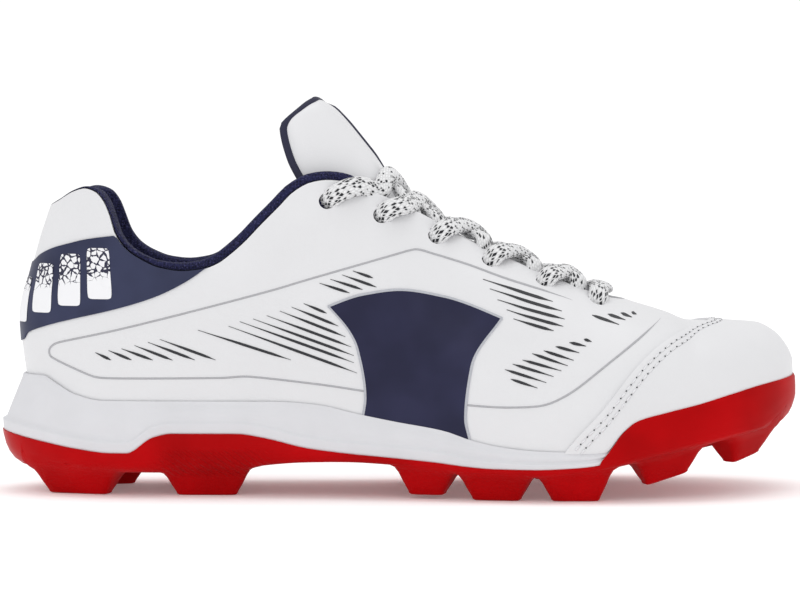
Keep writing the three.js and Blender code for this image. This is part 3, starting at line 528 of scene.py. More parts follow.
def curve(rows, column=1):
    """A smooth curve through one column of a table, without overshoot."""
    xs = [row[0] for row in rows]
    ys = [row[column] for row in rows]
    last = len(xs) - 1
    slopes = [(ys[i + 1] - ys[i]) / (xs[i + 1] - xs[i]) for i in range(last)]
    tangents = [slopes[0]]
    for before, after in zip(slopes, slopes[1:]):
        tangents.append(0 if before * after <= 0 else 2 * before * after / (before + after))
    tangents.append(slopes[-1])

    def value(at):
        if at <= xs[0]:
            return ys[0]
        if at >= xs[last]:
            return ys[last]
        i = next(k for k in range(1, last + 1) if xs[k] > at) - 1
        span = xs[i + 1] - xs[i]
        t = (at - xs[i]) / span
        rest = 1 - t
        bend = span * t * rest * (tangents[i] * rest - tangents[i + 1] * t)
        return ys[i] * (1 + 2 * t) * rest * rest + ys[i + 1] * t * t * (3 - 2 * t) + bend

    return value


def curves(rows):
    """One curve for each column of a table behind its first."""
    return [curve(rows, column) for column in range(1, len(rows[0]))]


def mix(low, high, share):
    return low + (high - low) * share


def side_of(value):
    """-1 on the outer side and 1 on the inner side."""
    return -1 if value < 0 else 1


def smooth(low, high, value):
    t = min(max((value - low) / (high - low), 0), 1)
    return t * t * (3 - 2 * t)


ball_share, waist_share, drift_share = curves(PLAN)
bed_share, seam_share, base_share, tuck_share = curves(SOLE)
side_rise = curve(SIDE_STEPS)
lip_share = curve(LIP)
bumper_share = curve(BUMPER)
toe_share, rise_share, square_of, ledge_share = curves(LAST)
lean_share = curve(HEEL_BACK)
collar_up, collar_roll = curves(COLLAR)
throat_open = curve(THROAT)
tongue_turn = curve(TONGUE)
tongue_slant = curve(TONGUE_SLANT)
tongue_depth = curve(TONGUE_DEPTH)
far_edge_rise = curve(FAR_EDGE_RISE)
lace_seat = curve(LACE_SEAT)
lace_dip = curve(LACE_DIP)
guard_height = curve(GUARD_EDGE)
panel_top = curve(PANEL_TOP)
panel_foot = curve(PANEL_FOOT)
saddle_back, saddle_front = curves(SADDLE)
saddle_top = curve(SADDLE_TOP)


def bed(x):
    return bed_share(x / SHOE_LENGTH) * SOLE_HEIGHT


def seam(x):
    return seam_share(x / SHOE_LENGTH) * SOLE_HEIGHT


def base(x):
    return base_share(x / SHOE_LENGTH) * SOLE_HEIGHT


def lip_top(x):
    return bed(x) + LIP_RISE + lip_share(x / SHOE_LENGTH) * SOLE_HEIGHT


def midsole_top(x):
    """Top of the midsole's rim: the lip behind, and just over the footbed behind the bumper."""
    return mix(lip_top(x), bed(x) + RIM_RISE, smooth(*LIP_FADE, x / SHOE_LENGTH))


def turn_line(x):
    """Height where the plate's side turns under: higher round the toe's nose."""
    return seam(x) + NOSE_RISE * smooth(NOSE_START, 1, x / SHOE_LENGTH)


def bumper_top(x):
    return bumper_share(x / SHOE_LENGTH) * BUMPER_HEIGHT


def middle(x):
    return drift_share(x / SHOE_LENGTH) * BALL_WIDTH


def half_width(x):
    at = x / SHOE_LENGTH
    return mix(HEEL_WIDTH, BALL_WIDTH, ball_share(at)) / 2 * waist_share(at)


def round_ends(share):
    """Rounding of both ends of the plan: 0 at the tips and 1 between the caps."""

    def end(distance, cap):
        left = min(max(1 - distance / cap[0], 0), 1)
        return (1 - left ** cap[1]) ** (1 / cap[1])

    return end(share, HEEL_CAP) * end(1 - share, TOE_CAP)


def last_share(x):
    return (x - HEEL_TUCK) / (SHOE_LENGTH - HEEL_TUCK - TOE_TUCK)


class Section:
    """One cross section of the last."""

    def __init__(self, share):
        self.x = HEEL_TUCK + (SHOE_LENGTH - HEEL_TUCK - TOE_TUCK) * share
        at = self.x / SHOE_LENGTH
        self.middle = middle(self.x)
        self.half = max((half_width(self.x) - ledge_share(at) * LEDGE_WIDTH) * round_ends(share), 1e-6)
        self.low = bed(self.x) + GAP
        self.crest = toe_share(at) * VAMP_HEIGHT + rise_share(at) * (TONGUE_HEIGHT - VAMP_HEIGHT)
        self.power = 2 / square_of(at)
        self.fade = max(1 - share / HEEL_REACH, 0) ** 2

    def shift(self, z):
        return lean_share(z / COLLAR_HEIGHT) * HEEL_LEAN * self.fade if self.fade else 0

    def point(self, side, turn):
        angle = turn * math.pi / 2
        y = self.middle + side * self.half * math.sin(angle) ** self.power
        z = self.low + (self.crest - self.low) * max(math.cos(angle), 0) ** self.power
        return Vector((self.x + self.shift(z), y, z))

    def turn_at_height(self, z):
        up = min(max((z - self.low) / (self.crest - self.low), 0), 1)
        return math.acos(up ** (1 / self.power)) / (math.pi / 2)

    def turn_at_breadth(self, breadth):
        return math.asin(min((breadth / self.half) ** (1 / self.power), 1)) / (math.pi / 2)


@lru_cache(maxsize=None)
def section(share):
    return Section(share)


def last_point(share, side, turn):
    return section(share).point(side, turn)


def last_normal(share, side, turn):
    step = 0.002
    back = -step if share > 1 - step else step
    down_step = -step if turn > 1 - step else step
    here = last_point(share, side, turn)
    along = (last_point(share + back, side, turn) - here) / back
    down = (last_point(share, side, turn + down_step) - here) / down_step
    normal = along.cross(down) * side
    if share <= 0 or share >= 1 or turn < CREST_TURN:
        normal.y = 0
    return normal.normalized()


@lru_cache(maxsize=None)
def collar_edge(share):
    """Height of the upper's edge round the collar."""
    cut = section(share)
    z = COLLAR_HEIGHT
    for _ in range(8):
        at = (cut.x + cut.shift(z)) / SHOE_LENGTH
        z = collar_up(at) * COLLAR_HEIGHT
    return z


@lru_cache(maxsize=None)
def edge_turn(share):
    """Turn of the upper's edge: collar behind, throat ahead, 0 where the vamp is closed."""
    cut = section(share)
    if cut.x >= THROAT_FRONT - 1e-6:
        return 0
    at = cut.x / SHOE_LENGTH
    left = 1 - min((THROAT_FRONT - cut.x) / THROAT_ROUND, 1)
    half = throat_open(at) * THROAT_WIDTH / 2 * math.sqrt(1 - left * left)
    throat_turn = cut.turn_at_breadth(half)
    ahead = smooth(*COLLAR_FRONT, at)
    return mix(cut.turn_at_height(collar_edge(share)), throat_turn, ahead) if ahead < 1 else throat_turn


def turn_from_edge(share, side, distance):
    """The turn at a distance from the upper's edge, towards the sole where it is positive."""
    start = last_point(share, side, edge_turn(share))
    near, far = edge_turn(share), (1 if distance > 0 else -1)
    for _ in range(24):
        turn = (near + far) / 2
        there = last_point(share, side if turn >= 0 else -side, abs(turn))
        if (there - start).length < abs(distance):
            near = turn
        else:
            far = turn
    return near


def relief(point):
    """Soft swellings and creases of the upper at a place on it, in millimetres."""
    total = 0
    for x0, z0, x1, z1, depth, breadth in CREASES:
        dx, dz = x1 - x0, z1 - z0
        t = ((point.x - x0) * dx + (point.z - z0) * dz) / (dx * dx + dz * dz)
        t = min(max(t, 0), 1)
        away = math.hypot(point.x - x0 - t * dx, point.z - z0 - t * dz)
        if away < 3 * breadth:
            total += depth * math.exp(-((away / breadth) ** 2))
    return total + 0.12 * wave.noise(point * 0.06) + 0.05 * wave.noise(point * 0.2)


def skin(share, signed, lift=0):
    """A place on the finished upper, with a signed turn: negative on the outer side."""
    side = side_of(signed)
    turn = abs(signed)
    point = last_point(share, side, turn)
    return point + last_normal(share, side, turn) * (relief(point) + lift)


def share_beside(x, z):
    """The last's share whose section passes through a place seen from the side."""
    share = last_share(x)
    for _ in range(6):
        share = max(last_share(x - section(max(share, 0)).shift(z)), 0)
    return share


def beside(x, z, side, lift=0):
    """A place on the upper, given as it is seen from the side."""
    share = share_beside(x, z)
    return skin(share, side * section(share).turn_at_height(z), lift)


def to_frame(point):
    return Vector((HEEL_X + point.x * MM, MIDDLE_Y + point.y * MM, point.z * MM))


def eased(count):
    """Shares from 0 to 1, close together at both ends."""
    return [(1 - math.cos(math.pi * i / count)) / 2 for i in range(count + 1)]


def even(count, low=0.0, high=1.0):
    return [mix(low, high, i / count) for i in range(count + 1)]


def add_grid(bm, columns, rows, place):
    """Adds a flat grid and bends it: place(column, row) gives each point in millimetres."""
    if not bm.loops.layers.uv:
        bm.loops.layers.uv.new("weave")
    made = bmesh.ops.create_grid(
        bm, x_segments=len(columns) - 1, y_segments=len(rows) - 1, size=0.5, calc_uvs=True
    )
    verts = made["verts"]
    for vert in verts:
        i = round((vert.co.x + 0.5) * (len(columns) - 1))
        j = round((vert.co.y + 0.5) * (len(rows) - 1))
        vert.co = to_frame(place(columns[i], rows[j]))
    return verts


def add_tube(bm, rings):
    """Joins closed rings of points, one behind the other."""
    sides = len(rings[0])
    return add_grid(bm, range(len(rings)), range(sides + 1), lambda i, k: rings[i][k % sides])


def faces_of(verts):
    return list({face for vert in verts for face in vert.link_faces})


def apart(values, least=0.0009):
    """Leaves out values that lie too close behind the one before."""
    kept = [values[0]]
    for value in values[1:-1]:
        if value - kept[-1] >= least and values[-1] - value >= least:
            kept.append(value)
    return [*kept, values[-1]]


def weld(bm):
    bmesh.ops.remove_doubles(bm, verts=bm.verts, dist=WELD_DISTANCE * MM)


def close_and_turn_out(bm):
    """Merges the seams, fills open rims and points every face outwards."""
    weld(bm)
    rims = [edge for edge in bm.edges if edge.is_boundary]
    if rims:
        bmesh.ops.holes_fill(bm, edges=rims, sides=0)
    bmesh.ops.recalc_face_normals(bm, faces=bm.faces)


def close_ends(bm, verts):
    """Merges the seam of one new tube among others and caps its ends."""
    bmesh.ops.remove_doubles(bm, verts=verts, dist=WELD_DISTANCE * MM)
    verts = [vert for vert in verts if vert.is_valid]
    rims = [e for e in {e for v in verts for e in v.link_edges} if e.is_boundary]
    bmesh.ops.holes_fill(bm, edges=rims, sides=0)
    return verts


def upward_area(bm):
    """How far the faces look up in all: negative where they look down."""
    return sum(face.normal.z * face.calc_area() for face in bm.faces)


def face_out(bm):
    """Points an open shell's faces away from the shoe's middle."""
    bmesh.ops.recalc_face_normals(bm, faces=bm.faces)
    total = 0
    for face in bm.faces:
        centre = face.calc_center_median()
        away = Vector((centre.x * 0.3, centre.y - MIDDLE_Y, centre.z - MIDDLE_Z))
        total += face.normal.dot(away) * face.calc_area()
    if total < 0:
        bmesh.ops.reverse_faces(bm, faces=bm.faces)


def thicken(bm, thickness):
    """Gives an open shell its thickness, inwards from its faces."""
    bmesh.ops.solidify(bm, geom=bm.faces[:], thickness=thickness * MM)
    bmesh.ops.recalc_face_normals(bm, faces=bm.faces)


def shade(mesh, sharp):
    mesh.shade_smooth()
    mesh.set_sharp_from_angle(angle=math.radians(sharp))


def add_object(name, bm):
    mesh = bpy.data.meshes.new(name)
    bm.to_mesh(mesh)
    bm.free()
    made = bpy.data.objects.new(name, mesh)
    bpy.context.scene.collection.objects.link(made)
    return made


def make_piece(name, bm, material, replaces=(), sharp=40.0):
    """Turns a bmesh into a finished piece that rides on the shoe."""
    piece = add_object(name, bm)
    shade(piece.data, sharp)
    piece.data.materials.append(material)
    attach(piece, "root")
    if replaces:
        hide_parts(*replaces)
    return piece


def apply_modifiers(piece, sharp):
    """Bakes a piece's modifiers into its mesh and shades it again."""
    bpy.context.view_layer.update()
    seen = piece.evaluated_get(bpy.context.evaluated_depsgraph_get())
    mesh = bpy.data.meshes.new_from_object(seen)
    piece.modifiers.clear()
    piece.data = mesh
    shade(mesh, sharp)


def round_edges(piece, name, width, angle, sharp):
    """Rounds the edges that are sharper than an angle, with a baked bevel."""
    rounded = piece.modifiers.new(name, "BEVEL")
    rounded.width = width * MM
    rounded.segments = 2
    rounded.limit_method = "ANGLE"
    rounded.angle_limit = math.radians(angle)
    apply_modifiers(piece, sharp)


def shaded(colour, share):
    """A colour with each part multiplied by a share."""
    return tuple(value * share for value in colour[:3])


class Finish:
    """A material's nodes, made step by step."""

    def __init__(self, name, colour, roughness, **sockets):
        self.material = bpy.data.materials.new(name)
        self.material.use_nodes = True
        self.tree = self.material.node_tree
        self.shader = self.tree.nodes["Principled BSDF"]
        self.shader.inputs["Base Color"].default_value = (*colour[:3], 1)
        self.shader.inputs["Roughness"].default_value = roughness
        for socket, value in sockets.items():
            title = socket.replace("_", " ").title().replace("Ior", "IOR")
            self.shader.inputs[title].default_value = value

    def node(self, kind, inputs=None, **settings):
        made = self.tree.nodes.new(kind)
        for key, value in settings.items():
            setattr(made, key, value)
        for key, value in (inputs or {}).items():
            if isinstance(value, bpy.types.NodeSocket):
                self.tree.links.new(value, made.inputs[key])
            else:
                made.inputs[key].default_value = value
        return made

    def place(self, source="Object", scale=(1, 1, 1), turn=(0, 0, 0)):
        """Coordinates in millimetres, from the object or the piece's own map."""
        coordinates = self.node("ShaderNodeTexCoord")
        stretch = tuple(value / MM for value in scale)
        mapping = self.node(
            "ShaderNodeMapping",
            {"Vector": coordinates.outputs[source], "Scale": stretch, "Rotation": turn},
        )
        return mapping.outputs["Vector"]

    def noise(self, vector, scale, detail=2.0, roughness=0.5):
        inputs = {"Vector": vector, "Scale": scale, "Detail": detail, "Roughness": roughness}
        return self.node("ShaderNodeTexNoise", inputs).outputs["Fac"]

    def cells(self, vector, scale, feature="F1", output="Distance", randomness=1.0):
        inputs = {"Vector": vector, "Scale": scale, "Randomness": randomness}
        return self.node("ShaderNodeTexVoronoi", inputs, feature=feature).outputs[output]

    def math(self, operation, first, second=0.0, third=0.0):
        made = self.node("ShaderNodeMath", operation=operation)
        for socket, value in zip(made.inputs, (first, second, third)):
            if isinstance(value, bpy.types.NodeSocket):
                self.tree.links.new(value, socket)
            else:
                socket.default_value = value
        return made.outputs[0]

    def range(self, value, low, high, to_low=0.0, to_high=1.0):
        inputs = {"Value": value, "From Min": low, "From Max": high, "To Min": to_low, "To Max": to_high}
        return self.node("ShaderNodeMapRange", inputs).outputs["Result"]

    def blend(self, share, first, second):
        """Mixes two colours, each a value or a socket."""
        made = self.node("ShaderNodeMix", data_type="RGBA")
        for index, value in ((0, share), (6, first), (7, second)):
            if isinstance(value, bpy.types.NodeSocket):
                self.tree.links.new(value, made.inputs[index])
            else:
                made.inputs[index].default_value = value if index == 0 else (*value[:3], 1)
        return made.outputs[2]

    def bump(self, height, depth, strength=1.0, below=None):
        """Adds relief: depth in millimetres at a height of 1."""
        inputs = {"Height": height, "Distance": depth * MM, "Strength": strength}
        made = self.node("ShaderNodeBump", inputs)
        if below is not None:
            self.tree.links.new(below, made.inputs["Normal"])
        return made.outputs["Normal"]

    def set(self, socket, value):
        self.tree.links.new(value, self.shader.inputs[socket])


def leather_finish(name, colour, roughness):
    """Coated synthetic leather: fine grain, faint clouding and a soft gloss."""
    finish = Finish(name, colour, roughness, coat_weight=0.08, coat_roughness=0.35)
    place = finish.place()
    grain = finish.cells(place, 1.5, "SMOOTH_F1")
    fine = finish.noise(place, 3.2, 3.0)
    cloud = finish.noise(place, 0.03, 3.0)
    height = finish.math("ADD", grain, finish.math("MULTIPLY", fine, 0.6))
    finish.set("Normal", finish.bump(height, 0.05, 0.5))
    clouded = finish.blend(finish.range(cloud, 0.35, 0.7), shaded(colour, 0.97), colour)
    finish.set("Base Color", clouded)
    finish.set("Roughness", finish.range(fine, 0.3, 0.7, roughness - 0.05, roughness + 0.07))
    return finish.material


def foam_finish(colour):
    """Moulded foam: matt skin with a fine pebble."""
    finish = Finish("White moulded foam", colour, 0.62)
    place = finish.place()
    pebble = finish.cells(place, 1.1, "SMOOTH_F1")
    skinned = finish.noise(place, 0.08, 4.0)
    finish.set("Normal", finish.bump(pebble, 0.035, 0.45))
    clouded = finish.blend(finish.range(skinned, 0.35, 0.65), shaded(colour, 0.965), colour)
    finish.set("Base Color", clouded)
    return finish.material


def rubber_finish(colour):
    """Moulded thermoplastic: satin, sand textured on the studs, hatched under the arch."""
    finish = Finish("Red moulded plate", colour, 0.4, specular_ior_level=0.05)
    place = finish.place()
    sand = finish.noise(place, 1.6, 2.0)
    cloud = finish.noise(place, 0.05, 2.0)
    split = finish.node("ShaderNodeSeparateXYZ", {"Vector": place})
    across = split.outputs["X"]
    height = split.outputs["Z"]
    slanted = finish.math("ADD", across, finish.math("MULTIPLY", height, 1.3))
    hatch = finish.math("SINE", finish.math("MULTIPLY", slanted, 2.4))
    arch_start = finish.range(across, -75, -69)
    arch_end = finish.range(across, -38, -46)
    side_band = finish.math("MULTIPLY", finish.range(height, 5.5, 7.5), finish.range(height, 15.5, 14))
    arch = finish.math("MULTIPLY", finish.math("MULTIPLY", arch_start, arch_end), side_band)
    low = finish.math("ADD", finish.range(height, 9.5, 7.5), finish.range(across, 75, 95))
    sandy = finish.math("MULTIPLY", sand, finish.range(height, 12, 9))
    relief_map = finish.math("ADD", sandy, finish.math("MULTIPLY", hatch, arch))
    finish.set("Normal", finish.bump(relief_map, 0.24, 0.85))
    bright = (min(colour[0] * 1.08, 1), colour[1] * 1.6, colour[2] * 1.6)
    clouded = finish.blend(finish.range(cloud, 0.3, 0.7), shaded(colour, 0.8), bright)
    finish.set("Base Color", clouded)
    rough = finish.math("MULTIPLY", finish.math("MINIMUM", low, 1.0), 0.12)
    finish.set("Roughness", finish.math("ADD", rough, 0.34))
    return finish.material


def film_finish(name, colour):
    """Film heat-bonded to the upper: smooth, with a faint orange peel."""
    finish = Finish(name, colour, 0.42, specular_ior_level=0.25)
    place = finish.place()
    peel = finish.noise(place, 0.9, 3.0)
    finish.set("Normal", finish.bump(peel, 0.04, 0.5))
    light = tuple(min(value * 1.35 + 0.004, 1) for value in colour[:3])
    cloud = finish.noise(place, 0.06, 2.0)
    finish.set("Base Color", finish.blend(finish.range(cloud, 0.35, 0.65), colour, light))
    return finish.material


def mesh_finish(colour, fleck):
    """Knitted lining mesh: rows of small cells with painted shade in their openings, and paler yarn
    between them.
    """
    gloss = {"specular_ior_level": 0.2, "sheen_weight": 0.06, "sheen_roughness": 0.4}
    finish = Finish("Navy knitted mesh", colour, 0.9, **gloss)
    place = finish.place()
    cell = finish.cells(place, 1.05, "F1", "Distance", 0.35)
    yarn = finish.noise(place, 2.4, 2.0)
    open_cell = finish.range(cell, 0.2, 0.55)
    finish.set("Normal", finish.bump(open_cell, 0.22, 0.8))
    # Painted shade: the mesh's open cells, low in the bump, darkened to 0.35 of its colour
    knitted = finish.blend(open_cell, shaded(colour, 0.35), colour)
    finish.set("Base Color", finish.blend(finish.range(yarn, 0.56, 0.7), knitted, fleck))
    return finish.material


def lace_finish(colour, fleck):
    """Braided polyester: slanting stitches, with dark stitches strewn among the white and painted shade
    in the grooves between stitches.
    """
    finish = Finish("Flecked lace braid", colour, 0.78, sheen_weight=0.2, sheen_roughness=0.4)
    place = finish.place("UV", turn=(0, 0, math.radians(34)), scale=(1.15, 0.62, 1))
    plait = finish.cells(place, 1.3, "DISTANCE_TO_EDGE", "Distance", 0.45)
    pick = finish.cells(place, 1.3, "F1", "Color", 0.45)
    chance = finish.node("ShaderNodeSeparateColor", {"Color": pick}).outputs["Red"]
    body = finish.range(plait, 0.0, 0.22)
    dark = finish.math("GREATER_THAN", chance, 0.62)
    inked = finish.math("MULTIPLY", dark, finish.range(plait, 0.1, 0.17))
    # Painted shade: the braid darkened to 0.86 of its colour towards the grooves between its stitches
    white = finish.blend(body, shaded(colour, 0.86), colour)
    finish.set("Base Color", finish.blend(inked, white, fleck))
    finish.set("Normal", finish.bump(body, 0.2, 0.8))
    return finish.material


def cracked_finish(colour, crack):
    """White print whose upper half is crazed with navy cracks."""
    finish = Finish("Crazed white print", colour, 0.4)
    place = finish.place()
    split = finish.node("ShaderNodeSeparateXYZ", {"Vector": place})
    along = finish.math("MULTIPLY", finish.math("ADD", split.outputs["X"], 92.0), -0.164)
    high = finish.math("ADD", split.outputs["Z"], along)
    edge = finish.cells(place, 0.5, "DISTANCE_TO_EDGE")
    wander = finish.noise(place, 0.8, 2.0)
    upper_half = finish.range(high, 65.4, 68.4)
    width = finish.math("MULTIPLY", upper_half, finish.range(wander, 0.35, 0.65, 0.03, 0.2))
    cracked = finish.math("LESS_THAN", edge, width)
    finish.set("Base Color", finish.blend(cracked, colour, crack))
    finish.set("Normal", finish.bump(wander, 0.03, 0.5))
    return finish.material


def plain_finish(name, colour, roughness, grain=0.03, scale=1.6):
    """A thin print, thread or cloth with a faint grain of its own."""
    finish = Finish(name, colour, roughness)
    place = finish.place()
    fine = finish.noise(place, scale, 3.0)
    finish.set("Normal", finish.bump(fine, grain, 0.6))
    clouded = finish.blend(finish.range(fine, 0.35, 0.65), shaded(colour, 0.9), colour)
    finish.set("Base Color", clouded)
    return finish.material


def colours():
    return bpy.context.scene.cleat_colours


def sizes():
    return bpy.context.scene.cleat_sizes


def length_property(name, description, value):
    return FloatProperty(name=name, description=description, default=value, unit="LENGTH")


class CleatSizes(bpy.types.PropertyGroup):
    """Sizes of the trim, in metres."""

    lace_width: length_property("Lace width", "Breadth of the laid lace", 0.0062)
    lace_thickness: length_property("Lace thickness", "Height of the laid lace", 0.0036)
    binding_width: length_property("Binding width", "Navy binding round the tongue", 0.0028)
    stitch_length: length_property("Stitch length", "One stitch of the toe guard", 0.0021)
    piping_width: length_property("Piping width", "Breadth of the grey piping", 0.0006)
    dash_width: length_property("Dash width", "Breadth of a printed dash", 0.0008)


def colour_property(name, description, value):
    return FloatVectorProperty(
        name=name, description=description, default=(*value, 1), size=4, min=0, max=1, subtype="COLOR"
    )


class CleatColours(bpy.types.PropertyGroup):
    """Colours of the materials."""

    leather: colour_property("Leather", "White synthetic leather", (0.7, 0.7, 0.715))
    foam: colour_property("Foam", "Midsole foam", (0.65, 0.65, 0.675))
    rubber: colour_property("Plate", "Red moulded plate", (0.42, 0.0006, 0.0016))
    film: colour_property("Film", "Navy film", (0.0085, 0.009, 0.036))
    panel: colour_property("Heel panel", "Navy heel panel", (0.018, 0.022, 0.056))
    mesh: colour_property("Mesh", "Navy knitted mesh", (0.014, 0.015, 0.055))
    yarn: colour_property("Yarn", "Paler yarn in the mesh", (0.06, 0.06, 0.15))
    lace: colour_property("Lace", "White braid", (0.8, 0.8, 0.81))
    # The dark ink colour also paints the shade in the toe guard's needle holes
    ink_and_hole_shade: colour_property("Ink", "Dark print and flecks", (0.008, 0.009, 0.013))
    silver: colour_property("Silver", "Silver edging", (0.44, 0.45, 0.49))
    piping: colour_property("Piping", "Grey piping", (0.4, 0.4, 0.42))


class CLEAT_OT_outsole(bpy.types.Operator):
    """Moulds the red plate with its bumper and studs"""

    bl_idname = "cleat.outsole"
    bl_label = "Outsole"

    def execute(self, context):
        bm = bmesh.new()
        columns = apart(sorted({*eased(150), *even(40, 0.73, 0.8), *even(24, 0.15, 0.22)}))
        add_grid(bm, columns, range(-PLATE_ROWS, PLATE_ROWS + 1), plate_point)
        weld(bm)
        bmesh.ops.recalc_face_normals(bm, faces=bm.faces)
        if upward_area(bm) > 0:
            bmesh.ops.reverse_faces(bm, faces=bm.faces)
        thicken(bm, PLATE_THICKNESS)
        for stud in STUDS:
            add_stud(bm, *stud)
        rubber = rubber_finish(colours().rubber)
        make_piece("outsole_moulding", bm, rubber, ["outsole"], 32)
        return {"FINISHED"}


def sole_outline(share, side, inset, height):
    x = inset + (SHOE_LENGTH - 2 * inset) * share
    y = middle(x) + side * (half_width(x) - inset) * round_ends(share)
    return Vector((x, y, height(x)))


def around_last(share, side, z, out):
    """A place on the last's outline at a height, moved outwards in plan."""
    if share <= 0 or share >= 1:
        tip = section(min(max(share, 0), 1))
        here = Vector((tip.x + tip.shift(z), tip.middle, z))
        return here + Vector((-out if share <= 0 else out, 0, 0))
    step = min(0.001, share / 2, (1 - share) / 2)

    def flat(at):
        point = last_point(at, side, section(at).turn_at_height(z))
        return Vector((point.x, point.y, z))

    along = flat(share + step) - flat(share - step)
    outward = Vector((along.y, -along.x, 0)).normalized() * (-side)
    return flat(share) + outward * out


def plate_point(share, row):
    """The plate from its rim, round the side and under to the middle: rows run from side to side."""
    side = side_of(row)
    down = PLATE_ROWS - abs(row)
    x = SHOE_LENGTH * share
    top = max(bumper_top(x), turn_line(x)) if share > BUMPER[0][0] else turn_line(x)
    if down <= RIM_ROWS:
        z = mix(top, turn_line(x), down / RIM_ROWS)
        on_sole = sole_outline(share, side, 0, turn_line)
        on_sole.z = z
        if top - turn_line(x) < 0.01:
            return on_sole
        depth = min(max((top - z) / BUMPER_HEIGHT, 0), 1)
        edge = BUMPER_EDGE if down == 0 else 0
        near = around_last(share, side, z, GAP + BUMPER_THICKNESS * (1 + depth) - edge)
        return near.lerp(on_sole, 1 - smooth(0, 5, z - turn_line(x)))
    steps = len(SIDE_STEPS) - 1
    if down <= RIM_ROWS + steps:
        inset, up = SIDE_STEPS[down - RIM_ROWS]
        tuck = tuck_share(share) * SOLE_HEIGHT * inset
        return sole_outline(share, side, tuck, lambda at: mix(base(at), turn_line(at), up))
    inner = (down - RIM_ROWS - steps) / (PLATE_ROWS - RIM_ROWS - steps)
    edge = sole_outline(share, side, tuck_share(share) * SOLE_HEIGHT, base)
    return Vector((edge.x, mix(edge.y, middle(edge.x), inner), edge.z))


def plate_under(x, y):
    """Height of the plate's underside over a place on the ground."""
    x = min(max(x, 1), SHOE_LENGTH - 1)
    share = x / SHOE_LENGTH
    half = half_width(x) * round_ends(share)
    inside = max(half - abs(y - middle(x)), 0) / (tuck_share(share) * SOLE_HEIGHT)
    return mix(base(x), turn_line(x), side_rise(min(inside, 1)))


def add_stud(bm, side, start, end, rest, tip):
    """One stud: a rounded block whose flanks run out into the plate."""
    x = (start + end) / 2 * SHOE_LENGTH
    long_half = (end - start) / 2 * SHOE_LENGTH
    share = x / SHOE_LENGTH
    edge = sole_outline(share, side, 0, base)
    ahead = sole_outline(share + 0.01, side, 0, base) - sole_outline(share - 0.01, side, 0, base)
    yaw = math.atan2(ahead.y, ahead.x)
    y = edge.y - side * (tuck_share(share) * SOLE_HEIGHT + STUD_WIDTH / 2 + STUD_FLARE)
    slope = math.tan(math.radians(tip))

    def place(around, row):
        shrink, grow, up = STUD_FLANK[row]
        angle = 2 * math.pi * around
        long_way = long_half + grow * STUD_FLARE
        short_way = STUD_WIDTH / 2 + grow * STUD_FLARE
        long_way, short_way = long_way + shrink * short_way, short_way * (1 + shrink)
        lx = long_way * math.copysign(abs(math.cos(angle)) ** STUD_SQUARE, math.cos(angle))
        ly = short_way * math.copysign(abs(math.sin(angle)) ** STUD_SQUARE, math.sin(angle))
        wx = x + lx * math.cos(yaw) - ly * math.sin(yaw)
        wy = y + lx * math.sin(yaw) + ly * math.cos(yaw)
        tread = rest + lx * slope
        half = half_width(wx) * round_ends(min(max(wx / SHOE_LENGTH, 0), 1)) - STUD_INSET
        away = min(abs(wy - middle(wx)), max(half, 0))
        wy = middle(wx) + math.copysign(away, wy - middle(wx))
        return Vector((wx, wy, mix(tread, plate_under(wx, wy), up)))

    verts = close_ends(bm, add_grid(bm, even(STUD_SIDES), range(len(STUD_FLANK)), place))
    bmesh.ops.recalc_face_normals(bm, faces=faces_of(verts))


class CLEAT_OT_midsole(bpy.types.Operator):
    """Moulds the white foam midsole with its lower band and lip"""

    bl_idname = "cleat.midsole"
    bl_label = "Midsole"

    def execute(self, context):
        bm = bmesh.new()
        columns = apart(sorted({*eased(150), *even(30, 0.15, 0.22), *even(20, 0.72, 0.79)}), 0.002)
        count = len(MIDSOLE_ROWS)
        add_grid(bm, columns, range(1 - count, count), midsole_point)
        close_and_turn_out(bm)
        make_piece("midsole_foam", bm, foam_finish(colours().foam), ["midsole"], 50)
        return {"FINISHED"}


def midsole_point(share, row):
    """A place on the midsole: rows run from side to side, over the top and down to the seam."""
    side = side_of(row)
    kind, *values = MIDSOLE_ROWS[len(MIDSOLE_ROWS) - 1 - abs(row)]
    x = SHOE_LENGTH * share
    behind = smooth(*OUTLINE_FADE, share)
    hidden = smooth(*INSIDE_FADE, share)
    low = seam(x) - MIDSOLE_OVERLAP
    top = midsole_top(x)
    band = min(BEVEL_HEIGHT, (bed(x) - seam(x)) * BEVEL_SHARE)
    lip = LIP_THICKNESS * mix(1, LIP_THIN, smooth(0.02, 0.1, share))
    outside = mix(GAP + lip, -BUMPER_SEAT, hidden)
    inside = mix(GAP, -BUMPER_SEAT - GAP, hidden)

    def out(inset, z):
        hidden_inset = TOE_TUCK + BUMPER_SEAT + NOSE_TUCK * smooth(0.92, 1, share)
        return sole_outline(share, side, mix(inset, hidden_inset, behind), lambda at: z)

    if kind == "bed":
        edge = around_last(share, side, bed(x), inside)
        return Vector((edge.x, mix(middle(edge.x), edge.y, values[0]), bed(x)))
    if kind == "lip":
        return around_last(share, side, top + values[1], mix(inside, outside, values[0]))
    if kind == "wall":
        foot = out(mix(*WALL_INSET, smooth(0.05, 0.2, share)), low + band + WALL_FOOT)
        head = around_last(share, side, top - WALL_HEAD, outside)
        point = foot.lerp(head, values[0])
        swell = MIDSOLE_SWELL * math.sin(math.pi * values[0]) * (1 - behind)
        return point + Vector((0, side * swell, 0))
    if kind == "band":
        return out(values[0] * BEVEL_DEPTH, low + band * values[1])
    edge = out(0.55 * BEVEL_DEPTH, low)
    return Vector((edge.x, middle(edge.x), low))


